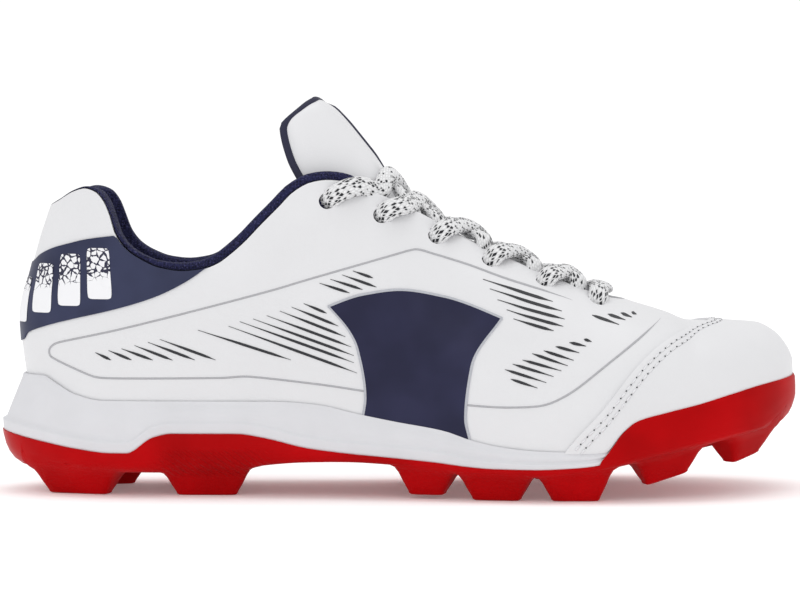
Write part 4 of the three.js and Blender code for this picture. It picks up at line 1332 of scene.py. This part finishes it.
class CLEAT_OT_insole(bpy.types.Operator):
    """Lays the footbed"""

    bl_idname = "cleat.insole"
    bl_label = "Insole"

    def execute(self, context):
        bm = bmesh.new()
        inset = WALL + 2 * GAP

        def place(share, across):
            z = bed(SHOE_LENGTH * share) + GAP + INSOLE_THICKNESS
            edge = around_last(share, side_of(across), z, -inset)
            out = abs(across)
            dish = INSOLE_DISH * (1 - out**3)
            return Vector((edge.x, mix(middle(edge.x), edge.y, out), z - dish))

        add_grid(bm, eased(90), even(24, *SIDES), place)
        weld(bm)
        if upward_area(bm) < 0:
            bmesh.ops.reverse_faces(bm, faces=bm.faces)
        thicken(bm, INSOLE_THICKNESS - 1)
        cloth = plain_finish("Grey insole cloth", (0.42, 0.43, 0.46), 0.9, 0.12, 1.3)
        make_piece("insole_sheet", bm, cloth, ["insole"])
        return {"FINISHED"}


class CLEAT_OT_upper(bpy.types.Operator):
    """Shapes the white upper and punches its lace holes"""

    bl_idname = "cleat.upper"
    bl_label = "Upper"

    def execute(self, context):
        bm = bmesh.new()
        throat = [THROAT_FRONT - THROAT_ROUND * (1 - math.cos(math.pi / 2 * t)) for t in even(10)]
        columns = {*eased(210), *even(24, 0.11, 0.18)}
        columns = sorted([*columns, *(last_share(x) for x in throat)])
        columns = [c for c, after in zip(columns, [*columns[1:], 9]) if after - c > 1e-5]
        for side in SIDES:

            def place(share, down, side=side):
                return skin(share, side * mix(edge_turn(share), 1, down))

            add_grid(bm, columns, even(62), place)
        weld(bm)
        face_out(bm)
        leather = leather_finish("White synthetic leather", colours().leather, 0.42)
        upper = make_piece("upper_shell", bm, leather, ["upper"])
        wall = upper.modifiers.new("Wall", "SOLIDIFY")
        wall.thickness = WALL * MM
        wall.offset = -1
        round_edges(upper, "Folded edge", 0.55, 55, 40)
        punch = hole_cutters()
        cut = upper.modifiers.new("Holes", "BOOLEAN")
        cut.operation = "DIFFERENCE"
        cut.solver = "EXACT"
        cut.object = punch
        apply_modifiers(upper, 45)
        bpy.data.objects.remove(punch)
        return {"FINISHED"}


def hole_place(index, side):
    share = last_share(HOLE_FRONT - index * HOLE_PITCH)
    return share, side * turn_from_edge(share, side, HOLE_MARGIN)


def hole_cutters():
    """All twelve punches as one object."""
    bm = bmesh.new()
    radius = HOLE_DIAMETER / 2 * MM
    for index in range(HOLE_COUNT):
        for side in SIDES:
            share, signed = hole_place(index, side)
            centre = to_frame(skin(share, signed))
            normal = last_normal(share, side, abs(signed))
            turned = normal.to_track_quat("Z", "Y").to_matrix().to_4x4()
            turned.translation = centre
            bmesh.ops.create_cone(
                bm,
                cap_ends=True,
                segments=HOLE_SIDES,
                radius1=radius,
                radius2=radius,
                depth=WALL * 5 * MM,
                matrix=turned,
            )
    return add_object("punches", bm)


class CLEAT_OT_overlays(bpy.types.Operator):
    """Lays the toe guard, the heel panel and the saddle panels on the upper"""

    bl_idname = "cleat.overlays"
    bl_label = "Overlays"

    def execute(self, context):
        palette = colours()
        guard = self.toe_guard(leather_finish("White guard leather", palette.leather, 0.44))
        round_edges(guard, *SKIVED_RIM)
        panel = self.heel_panel(film_finish("Navy heel film", palette.panel))
        round_edges(panel, *SKIVED_RIM)
        film = film_finish("Navy saddle film", palette.film)
        for side, where in ((-1, "outer"), (1, "inner")):
            self.saddle(side, where, film)
        self.heel_blocks(cracked_finish((0.8, 0.8, 0.82), palette.film))
        return {"FINISHED"}

    def toe_guard(self, material):
        bm = bmesh.new()

        def place(along, across):
            share = mix(guard_start(abs(across)), 1, along)
            cut = section(share)
            foot = cut.turn_at_height(guard_foot(cut.x))
            return skin(share, across * foot, GUARD_THICKNESS)

        add_grid(bm, [1 - (1 - t) ** 1.6 for t in even(90)], even(120, *SIDES), place)
        weld(bm)
        face_out(bm)
        thicken(bm, GUARD_THICKNESS + BONDED)
        return make_piece("toe_guard_overlay", bm, material, ["toe_guard"], 50)

    def heel_panel(self, material):
        bm = bmesh.new()
        tip = last_share(PANEL_TIP)

        def place(around, up):
            share = tip * (1 - math.cos(abs(around) * math.pi / 2))
            cut = section(share)
            low = panel_foot(cut.x + cut.shift(PANEL_HEIGHTS[0]))
            high = min(panel_top(cut.x + cut.shift(PANEL_HEIGHTS[1])), collar_edge(share) + 0.1)
            high = max(high, low + 0.05)
            turn = mix(cut.turn_at_height(low), cut.turn_at_height(high), up)
            return skin(share, side_of(around) * turn, PANEL_THICKNESS)

        add_grid(bm, even(150, *SIDES), even(30), place)
        weld(bm)
        face_out(bm)
        thicken(bm, PANEL_THICKNESS + BONDED)
        return make_piece("heel_panel_film", bm, material, ["heel_panel"], 50)

    def saddle(self, side, where, material):
        bm = bmesh.new()

        def place(across, down):
            return beside(*saddle_place(across, down), side, SADDLE_THICKNESS)

        add_grid(bm, even(40), even(48), place)
        face_out(bm)
        thicken(bm, SADDLE_THICKNESS + BONDED)
        make_piece(f"saddle_film_{where}", bm, material, [f"side_panel_{where}"], 50)

    def heel_blocks(self, material):
        bm = bmesh.new()
        for side in SIDES:
            for number in range(BLOCK_COUNT):
                self.block(bm, side, BLOCK_START + BLOCK_PITCH * number)
        bmesh.ops.recalc_face_normals(bm, faces=bm.faces)
        make_piece("heel_blocks", bm, material, sharp=50)

    def block(self, bm, side, distance):
        """An upright rounded block printed on the heel panel."""
        cut = section(heel_share(distance))
        middle_x = cut.x + cut.shift(ARC_HEIGHT)
        foot, top, collar = BLOCK_MARGINS
        low = panel_foot(middle_x) + foot
        high = min(panel_top(middle_x) - top, collar_edge(last_share(middle_x)) - collar)
        half_tall = (high - low) / 2

        def place(u, v):
            du, dv = 2 * u - 1, 2 * v - 1
            round_u = du * math.sqrt(1 - 0.16 * dv**8)
            round_v = dv * math.sqrt(1 - 0.1 * du**8)
            z = (low + high) / 2 + half_tall * round_v
            reach = distance + BLOCK_WIDTH / 2 * round_u + BLOCK_LEAN * half_tall * round_v * side
            share = heel_share(reach)
            return skin(share, side * section(share).turn_at_height(z), BLOCK_LIFT)

        made = add_grid(bm, even(14), even(30), place)
        bmesh.ops.solidify(bm, geom=faces_of(made), thickness=PRINT_THICKNESS * MM)


def guard_foot(x):
    """Lower edge of the toe guard, tucked behind the midsole's rim or the bumper's edge."""
    rubber = bumper_top(x) if x > BUMPER[0][0] * SHOE_LENGTH else 0
    return max(midsole_top(x) - RIM_COVER, rubber - BUMPER_COVER)


@lru_cache(maxsize=None)
def guard_start(across):
    """Share of the last where the guard's edge crosses a line of equal turn."""
    near, far = (last_share(x) for x in GUARD_RANGE)
    for _ in range(30):
        share = (near + far) / 2
        cut = section(share)
        turn = across * cut.turn_at_height(guard_foot(cut.x))
        point = last_point(share, 1, turn)
        if point.z > guard_height(point.x):
            near = share
        else:
            far = share
    return near


def saddle_place(across, down):
    """x and z of a place on a saddle panel, seen from the side."""
    x = mix(saddle_back(down), saddle_front(down), across)
    return x, mix(saddle_top(x), lip_top(x) + SADDLE_CLEARANCE, down)


@lru_cache(maxsize=None)
def heel_arcs():
    """Distances round the back of the heel, from the middle line, by share of the last."""
    rows = [(0.0, 0.0)]
    before = last_point(0, 1, section(0).turn_at_height(ARC_HEIGHT))
    for share in eased(200)[1:80]:
        point = last_point(share, 1, section(share).turn_at_height(ARC_HEIGHT))
        rows.append((rows[-1][0] + (point - before).length, share))
        before = point
    return rows


def heel_share(distance):
    """The share of the last at a distance round the heel."""
    rows = heel_arcs()
    distance = abs(distance)
    for (low, first), (high, second) in zip(rows, rows[1:]):
        if high >= distance:
            return mix(first, second, (distance - low) / (high - low))
    return rows[-1][1]


class CLEAT_OT_print(bpy.types.Operator):
    """Prints the dashes, the silver edging and the grey piping, and sews the toe guard"""

    bl_idname = "cleat.print"
    bl_label = "Print and stitching"

    def execute(self, context):
        palette = colours()
        # The dark ink is used for the printed dashes and also paints the shade in the toe guard's needle
        # holes
        ink_and_hole_shade = plain_finish("Dark printed ink", palette.ink_and_hole_shade, 0.45)
        silver = plain_finish("Silver print", palette.silver, 0.35)
        piping = plain_finish("Grey piping", palette.piping, 0.5)
        self.dashes(ink_and_hole_shade)
        self.edging(silver)
        self.piping(piping)
        self.stitches(plain_finish("White thread", (0.74, 0.74, 0.76), 0.7, 0.1, 3.0), ink_and_hole_shade)
        return {"FINISHED"}

    def dashes(self, material):
        bm = bmesh.new()
        half = sizes().dash_width / MM / 2
        for group, rows in DASHES.items():
            for x0, z0, x1, z1 in rows:
                x0, z0, x1, z1 = clip_to_saddle(x0, z0, x1, z1)
                length = math.hypot(x1 - x0, z1 - z0)
                if length < DASH_STEP:
                    continue
                nx, nz = -(z1 - z0) / length, (x1 - x0) / length
                steps = max(round(length / DASH_STEP), 4)
                for side in SIDES:

                    def place(t, across, side=side, rear=group in FULL_AT_THE_REAR):
                        wide = half * across * dash_taper(1 - t if rear else t)
                        x = mix(x0, x1, t) + nx * wide
                        z = mix(z0, z1, t) + nz * wide
                        return beside(x, z, side, DASH_LIFT)

                    add_grid(bm, even(steps), (-1, 0, 1), place)
        face_out(bm)
        thicken(bm, PRINT_THICKNESS)
        make_piece("printed_dashes", bm, material, sharp=60)

    def edging(self, material):
        """Silver line behind, ahead of and above each saddle panel."""
        bm = bmesh.new()
        for side in SIDES:
            for across, out in ((0, -1), (1, 1)):

                def place(down, t, side=side, across=across, out=out):
                    x, z = saddle_place(across, down)
                    return beside(x + out * EDGING_WIDTH * t, z, side, EDGING_LIFT)

                add_grid(bm, even(48), even(2), place)

            def top(along, t, side=side):
                x = mix(saddle_back(0) - EDGING_WIDTH, saddle_front(0) + EDGING_WIDTH, along)
                return beside(x, saddle_top(x) + EDGING_WIDTH * t, side, EDGING_LIFT)

            add_grid(bm, even(48), even(2), top)
        face_out(bm)
        thicken(bm, EDGING_THICKNESS)
        make_piece("silver_edging", bm, material, sharp=60)

    def piping(self, material):
        bm = bmesh.new()
        half = sizes().piping_width / MM / 2
        line = smooth_path([Vector((x, 0, z)) for x, z in PIPING], 14)
        count = len(line) - 1
        for side in SIDES:

            def place(index, across, side=side):
                here = line[index]
                ahead = line[min(index + 1, count)] - line[max(index - 1, 0)]
                ahead.normalize()
                fade = smooth(0, 0.05, index / count) * smooth(0, 0.04, 1 - index / count)
                wide = half * across * fade
                lift = PIPING_LIFT + PIPING_CROWN * (1 - across * across) * fade
                return beside(here.x - ahead.z * wide, here.z + ahead.x * wide, side, lift)

            add_grid(bm, range(len(line)), even(4, *SIDES), place)
        face_out(bm)
        thicken(bm, PRINT_THICKNESS)
        make_piece("grey_piping", bm, material, sharp=60)

    def stitches(self, thread, ink_and_hole_shade):
        """Two rows of stitches inside the guard's edge, with a dark bead of painted shade for the needle
        hole at each end.
        """
        sewn = bmesh.new()
        holes = bmesh.new()
        length = sizes().stitch_length / MM
        pitch = length + STITCH_GAP
        for inset in STITCH_ROWS:
            for side in SIDES:
                route = [guard_line(t, side, inset) for t in even(400, 0.02, 0.985)]
                for here, ahead, up in along_route(route, pitch):
                    add_bead(sewn, here, ahead, up, (length, *THREAD_SECTION))
                    # A dark bead of painted shade where the thread dives into its needle hole
                    add_bead(holes, here + ahead * (pitch / 2), ahead, up, NEEDLE_HOLE_SHADE)
        make_piece("guard_stitches", sewn, thread, sharp=80)
        make_piece("guard_needle_hole_shade", holes, ink_and_hole_shade, sharp=80)


def dash_taper(t):
    """Share of a dash's full breadth: pointed at both ends, fullest past the middle."""
    return min(smooth(0, 0.55, t) * 0.85 + 0.15, smooth(0, 0.22, 1 - t) * 0.9 + 0.1)


def clip_to_saddle(x0, z0, x1, z1):
    """Shortens a dash where it would run under the saddle panel."""

    def inside(t):
        x, z = mix(x0, x1, t), mix(z0, z1, t)
        if z > saddle_top(x) + CLEAR_ABOVE:
            return False
        down = (saddle_top(x) - z) / (saddle_top(x) - lip_top(x))
        return saddle_back(down) - CLEAR_BESIDE < x < saddle_front(down) + CLEAR_BESIDE

    steps = even(60)
    free = [t for t in steps if not inside(t)]
    if not free:
        return x0, z0, x0, z0
    first = free[0]
    last = first
    for t in steps:
        if t >= first and not inside(t):
            last = t
        elif t > first:
            break
    return mix(x0, x1, first), mix(z0, z1, first), mix(x0, x1, last), mix(z0, z1, last)


def smooth_path(points, steps):
    """Points along a curve through the given ones, evenly between each pair."""
    found = []
    for i in range(len(points) - 1):
        before = points[max(i - 1, 0)]
        start, end = points[i], points[i + 1]
        after = points[min(i + 2, len(points) - 1)]
        leave = (end - before) / 2
        arrive = (after - start) / 2
        span = (end - start).length
        leave *= min(1, span / max(leave.length, 1e-6))
        arrive *= min(1, span / max(arrive.length, 1e-6))
        for k in range(steps):
            t = k / steps
            rest = 1 - t
            found.append(
                start * ((1 + 2 * t) * rest * rest)
                + end * (t * t * (3 - 2 * t))
                + leave * (t * rest * rest)
                - arrive * (t * t * rest)
            )
    found.append(points[-1])
    return found


def guard_line(t, side, inset):
    """A place ahead of the guard's edge, from the sole at 0 to the crest at 1."""

    def on_edge(at):
        across = 1 - min(max(at, 0), 1)
        share = guard_start(across)
        cut = section(share)
        return share, across * cut.turn_at_height(guard_foot(cut.x))

    step = 0.004
    share, turn = on_edge(t)
    ahead = last_point(on_edge(t + step)[0], 1, on_edge(t + step)[1])
    behind = last_point(on_edge(t - step)[0], 1, on_edge(t - step)[1])
    inward = (ahead - behind).cross(last_normal(share, 1, turn)).normalized() * inset
    inward *= math.copysign(1, inward.x)
    turn = max(turn, 2 * step)
    forward = (last_point(share + step, 1, turn) - last_point(share - step, 1, turn)) / (2 * step)
    down = (last_point(share, 1, turn + step) - last_point(share, 1, turn - step)) / (2 * step)
    ff, fd, dd = forward.dot(forward), forward.dot(down), down.dot(down)
    f, d = forward.dot(inward), down.dot(inward)
    spread = ff * dd - fd * fd
    share += (f * dd - d * fd) / spread
    turn += (d * ff - f * fd) / spread
    return skin(share, side * min(max(turn, 0), 1), GUARD_THICKNESS + THREAD_LIFT)


def along_route(route, pitch):
    """Evenly spaced places on a route, with its direction and the way up."""
    travelled = 0
    due = pitch / 2
    for before, here in zip(route, route[1:]):
        step = here - before
        travelled += step.length
        if travelled >= due and step.length > 0:
            ahead = step.normalized()
            out = Vector((0.35, (here.y - middle(here.x)) * 0.03, 0.8))
            up = (out - ahead * out.dot(ahead)).normalized()
            yield here, ahead, up
            due += pitch


def add_bead(bm, centre, ahead, up, size):
    """A small smooth bead lying along a direction: size is its length, breadth and height."""
    length, width, height = size
    across = ahead.cross(up)
    made = bmesh.ops.create_uvsphere(bm, u_segments=8, v_segments=5, radius=0.5)
    for vert in made["verts"]:
        x, y, z = vert.co
        vert.co = to_frame(centre + ahead * (x * length) + across * (y * width) + up * (z * height))


class CLEAT_OT_lining(bpy.types.Operator):
    """Pads the collar with navy mesh"""

    bl_idname = "cleat.lining"
    bl_label = "Collar lining"

    def execute(self, context):
        bm = bmesh.new()
        front = last_share(LINING_FRONT * SHOE_LENGTH)
        shares = sorted({0.0, front, *(s for s in [*eased(190), *even(30, 0.11, 0.18)] if s < front)})
        path = [(share, -1) for share in reversed(shares)] + [(share, 1) for share in shares[1:]]
        edges = [last_point(share, side, edge_turn(share)) for share, side in path]
        outline = rounded_ring(LINING_SECTION, 2)
        add_tube(bm, [self.ring(path, edges, i, outline) for i in range(len(path))])
        close_and_turn_out(bm)
        knitted = mesh_finish(colours().mesh, colours().yarn)
        lining = make_piece("collar_padding", bm, knitted, ["collar_lining"], 60)
        return {"FINISHED"}

    def ring(self, path, edges, index, outline):
        """The lining's section at one place: rows that don't go down stand on the upper's edge."""
        share, side = path[index]
        edge = edges[index]
        normal = last_normal(share, side, edge_turn(share))
        along = edges[min(index + 1, len(edges) - 1)] - edges[max(index - 1, 0)]
        up = normal.cross(along).normalized()
        up *= math.copysign(1, up.z)
        at = edge.x / SHOE_LENGTH
        depth = mix(ROLL_DEPTH, LINING_END, smooth(0.25, 0.34, at))
        roll = max(collar_roll(at) * ROLL_HEIGHT, 2 * GAP)
        seat = WALL + GAP
        foot = SOLE_HEIGHT + 2 * GAP + INSOLE_THICKNESS + LINING_FOOT
        cut = section(share)
        points = []
        for seats, depths, lift, rise in outline:
            out = -seats * seat - depths * depth
            if rise >= 0:
                height = GAP * lift + roll * rise
                points.append(edge + normal * out + up * height)
            else:
                turn = cut.turn_at_height(mix(edge.z, foot, -rise))
                there = last_point(share, side, turn)
                points.append(there + last_normal(share, side, turn) * out)
        return points


def rounded_ring(rows, rounds):
    """Cuts the corners of a closed outline, each row a tuple of numbers."""
    for _ in range(rounds):
        cut = []
        for first, second in zip(rows, [*rows[1:], rows[0]]):
            cut.append(tuple(mix(a, b, 0.25) for a, b in zip(first, second)))
            cut.append(tuple(mix(a, b, 0.75) for a, b in zip(first, second)))
        rows = cut
    return rows


class CLEAT_OT_tongue(bpy.types.Operator):
    """Pads the tongue and binds its edge"""

    bl_idname = "cleat.tongue"
    bl_label = "Tongue"

    def execute(self, context):
        palette = colours()
        bm = bmesh.new()
        downs = [t**1.25 for t in even(80)]
        for inner in (0, 1):

            def place(down, out, inner=inner):
                return tongue_point(down, out, inner)

            add_grid(bm, downs, even(36, *SIDES), place)
        close_and_turn_out(bm)
        leather = leather_finish("White tongue leather", palette.leather, 0.45)
        tongue = make_piece("tongue_pad", bm, leather, ["tongue"], 60)
        self.binding(plain_finish("Navy binding tape", palette.film, 0.7, 0.15, 1.4))
        return {"FINISHED"}

    def binding(self, material):
        """A soft tube round the tongue's edge."""
        bm = bmesh.new()
        half = sizes().binding_width / MM / 2
        route = [tongue_point(down, -1, 0.5) for down in even(60, BINDING_REACH, 0)]
        route += [tongue_point(0, out, 0.5) for out in even(40, -1, 1)[1:-1]]
        for down in even(60, 0, BINDING_REACH):
            proud = BINDING_PROUD * smooth(0, 0.03, down) * smooth(0.34, 0.24, down)
            route.append(tongue_point(down, 1, 0.5) + proud)
        route = evened(route, 150)
        ups = [face_of_tongue(point) for point in route]
        add_tube(bm, tube_rings(route, ups, [(half, 0.8 * half)] * len(route), BINDING_SIDES))
        close_and_turn_out(bm)
        make_piece("tongue_binding", bm, material, sharp=60)


def tongue_point(down, out, inner):
    """A place on the tongue: inner is 0 on its face and 1 on its back."""
    side = side_of(out)
    reach = abs(out) * (1 - 0.13 * max(1 - down / 0.04, 0) ** 2)
    lower = down + 0.026 * reach**5 * max(1 - down / 0.06, 0)
    middle_x = mix(TONGUE_TOP, TONGUE_FRONT, lower)
    share = last_share(middle_x - tongue_slant(lower) * reach**2)
    turn = tongue_turn(lower) * reach
    point = last_point(share, side, turn)
    pad = mix(TONGUE_PAD, TONGUE_THICKNESS, smooth(0.4, 0.5, point.x / SHOE_LENGTH))
    plump = (1 - out**6) ** 0.5 * (1 - (1 - min(down / 0.06, 1)) ** 2) ** 0.5
    depth = tongue_depth(middle_x / SHOE_LENGTH) + pad / 2 + (inner - 0.5) * pad * plump
    place = point - last_normal(share, side, turn) * depth
    if out > 0:
        crest = last_point(last_share(middle_x), 1, 0)
        normal = last_normal(last_share(middle_x), 1, 0)
        flat = crest - normal * (depth - far_edge_rise(lower) * reach**2)
        flat.y = place.y * 1.06
        place = place.lerp(flat, smooth(0.36, 0.22, lower) * smooth(0, 0.4, reach))
    return place


def face_of_tongue(point):
    """The way out of the tongue's face, near its edge."""
    return Vector((0.6, (point.y - middle(point.x)) * 0.05, 0.8)).normalized()


def lengths_along(route):
    """How far each point of a route lies from its start."""
    lengths = [0.0]
    for before, here in zip(route, route[1:]):
        lengths.append(lengths[-1] + (here - before).length)
    return lengths


def evened(route, count):
    """The same route with evenly spaced points."""
    lengths = lengths_along(route)
    found = []
    i = 0
    for k in range(count):
        target = lengths[-1] * k / (count - 1)
        while i < len(lengths) - 2 and lengths[i + 1] < target:
            i += 1
        span = max(lengths[i + 1] - lengths[i], 1e-9)
        found.append(route[i].lerp(route[i + 1], min(max((target - lengths[i]) / span, 0), 1)))
    return found


def tube_rings(route, ups, halves, sides):
    """Rings round a route: ups give the way up at each, halves its half breadth and half height."""
    rings = []
    last = len(route) - 1
    angles = [2 * math.pi * k / sides for k in range(sides)]
    for i, (wide, high) in enumerate(halves):
        here = route[i]
        along = (route[min(i + 1, last)] - route[max(i - 1, 0)]).normalized()
        up = (ups[i] - along * ups[i].dot(along)).normalized()
        across = along.cross(up)
        rings.append([here + across * (wide * math.cos(a)) + up * (high * math.sin(a)) for a in angles])
    return rings


class CLEAT_OT_lace(bpy.types.Operator):
    """Runs the flecked lace through the holes and over the tongue"""

    bl_idname = "cleat.lace"
    bl_label = "Lace"

    def execute(self, context):
        bm = bmesh.new()
        self.bar(bm)
        for index in range(1, HOLE_COUNT):
            for side in SIDES:
                self.crossing(bm, index, side)
        bmesh.ops.recalc_face_normals(bm, faces=bm.faces)
        palette = colours()
        nodes = ["lace_bar", *(f"lace_cross_{index}" for index in range(1, HOLE_COUNT))]
        make_piece("lace_braid", bm, lace_finish(palette.lace, palette.ink_and_hole_shade), nodes, 70)
        return {"FINISHED"}

    def bar(self, bm):
        """The straight run between the two front holes."""
        start = hole_place(0, -1)[1]
        along = curve(((0, HOLE_FRONT), (0.25, LACE_RUNS[0][0]), (0.5, LACE_RUNS[0][2])))
        rows = []
        for q in even(90):
            at = last_share(along(min(q, 1 - q)))
            lift = lace_dip(q) + lace_dip(1 - q) + self.half_high() - BAR_SINK
            rows.append((at, mix(start, -start, q), lift, 1.0))
        self.strand(bm, rows)

    def crossing(self, bm, index, side):
        """From its hole, over the tongue and under the opposite eyestay."""
        hole = HOLE_FRONT - index * HOLE_PITCH
        start = hole_place(index, side)[1]
        near, halfway, crest, far, out = LACE_RUNS[index]
        edge = -side * edge_turn(last_share(far))
        tucked = far + TUCK_AHEAD
        end = -side * turn_from_edge(last_share(tucked), -side, TUCK_REACH)
        first = side * edge_turn(last_share(near))
        turn = curve(list(zip(LACE_KNOTS, (start, first, first * out, 0, edge, end))))
        along = curve(list(zip(LACE_KNOTS, (hole, near, halfway, crest, far, tucked))))
        rows = []
        for q in even(110):
            x = along(q)
            under = smooth(0.74, 0.93, q)
            sunk = smooth(0.12, 0.4, q)
            lift = lace_dip(q) + self.half_high() + 0.1 - lace_seat(x / SHOE_LENGTH) * sunk
            crossed = math.exp(-(((q - 0.5) / 0.17) ** 2))
            lift += (UPPER_STRAND if side < 0 else LOWER_STRAND) * crossed
            lift = mix(lift, -WALL - TUCK_DEPTH, under)
            rows.append((last_share(x), turn(q), lift, mix(1.0, 0.55, under)))
        self.strand(bm, rows)

    def half_high(self):
        return sizes().lace_thickness / MM / 2

    def strand(self, bm, rows):
        """One run of the braid: rows hold share, signed turn, lift and plumpness."""
        half_wide = sizes().lace_width / MM / 2
        half_high = self.half_high()
        route, ups, halves = [], [], []
        for share, signed, lift, plump in rows:
            side = side_of(signed)
            up = last_normal(share, side, abs(signed))
            route.append(last_point(share, side, abs(signed)) + up * lift)
            ups.append(up)
            halves.append((half_wide * mix(0.86, 1, plump), half_high * plump))
        route = softened(route, 3)
        verts = add_tube(bm, tube_rings(route, ups, halves, LACE_SIDES))
        self.lay_weave(bm, faces_of(verts), lengths_along(route), math.pi * (half_wide + half_high))
        close_ends(bm, verts)

    def lay_weave(self, bm, faces, lengths, girth):
        """Gives a strand's map real lengths: round the braid, then along it."""
        layer = bm.loops.layers.uv.active
        for face in faces:
            for loop in face.loops:
                u, v = loop[layer].uv
                run = lengths[round(u * (len(lengths) - 1))]
                loop[layer].uv = (v * girth * MM, run * MM)


def softened(route, rounds):
    """Eases the bends of a route, its ends kept."""
    for _ in range(rounds):
        inner = [(a + b * 2 + c) / 4 for a, b, c in zip(route, route[1:], route[2:])]
        route = [route[0], *inner, route[-1]]
    return route


class CLEAT_OT_stage(bpy.types.Operator):
    """Sets the pale floor, the soft lights and the camera"""

    bl_idname = "cleat.stage"
    bl_label = "Stage"

    def execute(self, context):
        scene = context.scene
        scene.view_settings.view_transform = "Standard"
        self.floor()
        self.world(scene)
        self.lamp("Key light", (-0.5, -1.2, 1.0), (0, 0, 0.05), 0.8, 2.4)
        self.lamp("Top light", (0.1, 0.1, 1.35), (0, 0, 0.03), 1.0, 3.2)
        self.camera(scene)
        return {"FINISHED"}

    def floor(self):
        bm = bmesh.new()
        bmesh.ops.create_grid(bm, x_segments=1, y_segments=1, size=6)
        floor = add_object("pale_floor", bm)
        pale = Finish("Pale floor", (0.98, 0.98, 0.98), 0.9, emission_strength=0.14)
        pale.shader.inputs["Emission Color"].default_value = (1, 1, 1, 1)
        floor.data.materials.append(pale.material)

    def world(self, scene):
        """A soft sky, seen by the camera as a white backdrop."""
        world = bpy.data.worlds.new("Pale studio")
        world.use_nodes = True
        nodes, links = world.node_tree.nodes, world.node_tree.links
        sky = nodes["Background"]
        sky.inputs["Color"].default_value = (1, 1, 1, 1)
        sky.inputs["Strength"].default_value = 0.93
        backdrop = nodes.new("ShaderNodeBackground")
        backdrop.inputs["Color"].default_value = (1, 1, 1, 1)
        backdrop.inputs["Strength"].default_value = 1.06
        path = nodes.new("ShaderNodeLightPath")
        choice = nodes.new("ShaderNodeMixShader")
        links.new(path.outputs["Is Camera Ray"], choice.inputs[0])
        links.new(sky.outputs[0], choice.inputs[1])
        links.new(backdrop.outputs[0], choice.inputs[2])
        links.new(choice.outputs[0], nodes["World Output"].inputs["Surface"])
        scene.world = world

    def lamp(self, name, place, target, size, power):
        data = bpy.data.lights.new(name, "AREA")
        data.shape = "DISK"
        data.size = size
        data.energy = power
        lamp = bpy.data.objects.new(name, data)
        bpy.context.scene.collection.objects.link(lamp)
        lamp.location = place
        lamp.rotation_euler = (Vector(target) - Vector(place)).to_track_quat("-Z", "Y").to_euler()

    def camera(self, scene):
        """The photograph's view: level with the instep, square to the outer side."""
        distance, height, drop = 1.0, 0.105, 0.0464
        data = bpy.data.cameras.new("Side camera")
        data.lens = 145.6
        data.sensor_width = 36
        camera = bpy.data.objects.new("Side camera", data)
        scene.collection.objects.link(camera)
        camera.location = (-0.00015, MIDDLE_Y - distance, height)
        camera.rotation_euler = (math.pi / 2 - drop, 0, 0)
        scene.camera = camera


class CLEAT_PT_panel(bpy.types.Panel):
    """Lists the shoe's pieces in the sidebar"""

    bl_label = "Cleat"
    bl_idname = "CLEAT_PT_panel"
    bl_space_type = "VIEW_3D"
    bl_region_type = "UI"
    bl_category = "Cleat"

    def draw(self, context):
        for group in (context.scene.cleat_sizes, context.scene.cleat_colours):
            for name in group.__annotations__:
                self.layout.prop(group, name)
        for operator in OPERATORS:
            self.layout.operator(operator.bl_idname)


OPERATORS = (
    CLEAT_OT_stage,
    CLEAT_OT_outsole,
    CLEAT_OT_midsole,
    CLEAT_OT_insole,
    CLEAT_OT_upper,
    CLEAT_OT_overlays,
    CLEAT_OT_print,
    CLEAT_OT_lining,
    CLEAT_OT_tongue,
    CLEAT_OT_lace,
)
CLASSES = (CleatSizes, CleatColours, *OPERATORS, CLEAT_PT_panel)


def register():
    for cls in CLASSES:
        bpy.utils.register_class(cls)
    bpy.types.Scene.cleat_sizes = PointerProperty(type=CleatSizes)
    bpy.types.Scene.cleat_colours = PointerProperty(type=CleatColours)


def unregister():
    del bpy.types.Scene.cleat_colours
    del bpy.types.Scene.cleat_sizes
    for cls in reversed(CLASSES):
        bpy.utils.unregister_class(cls)


def main():
    register()
    for operator in OPERATORS:
        getattr(bpy.ops.cleat, operator.bl_idname.removeprefix("cleat."))()


if __name__ == "__main__":
    main()
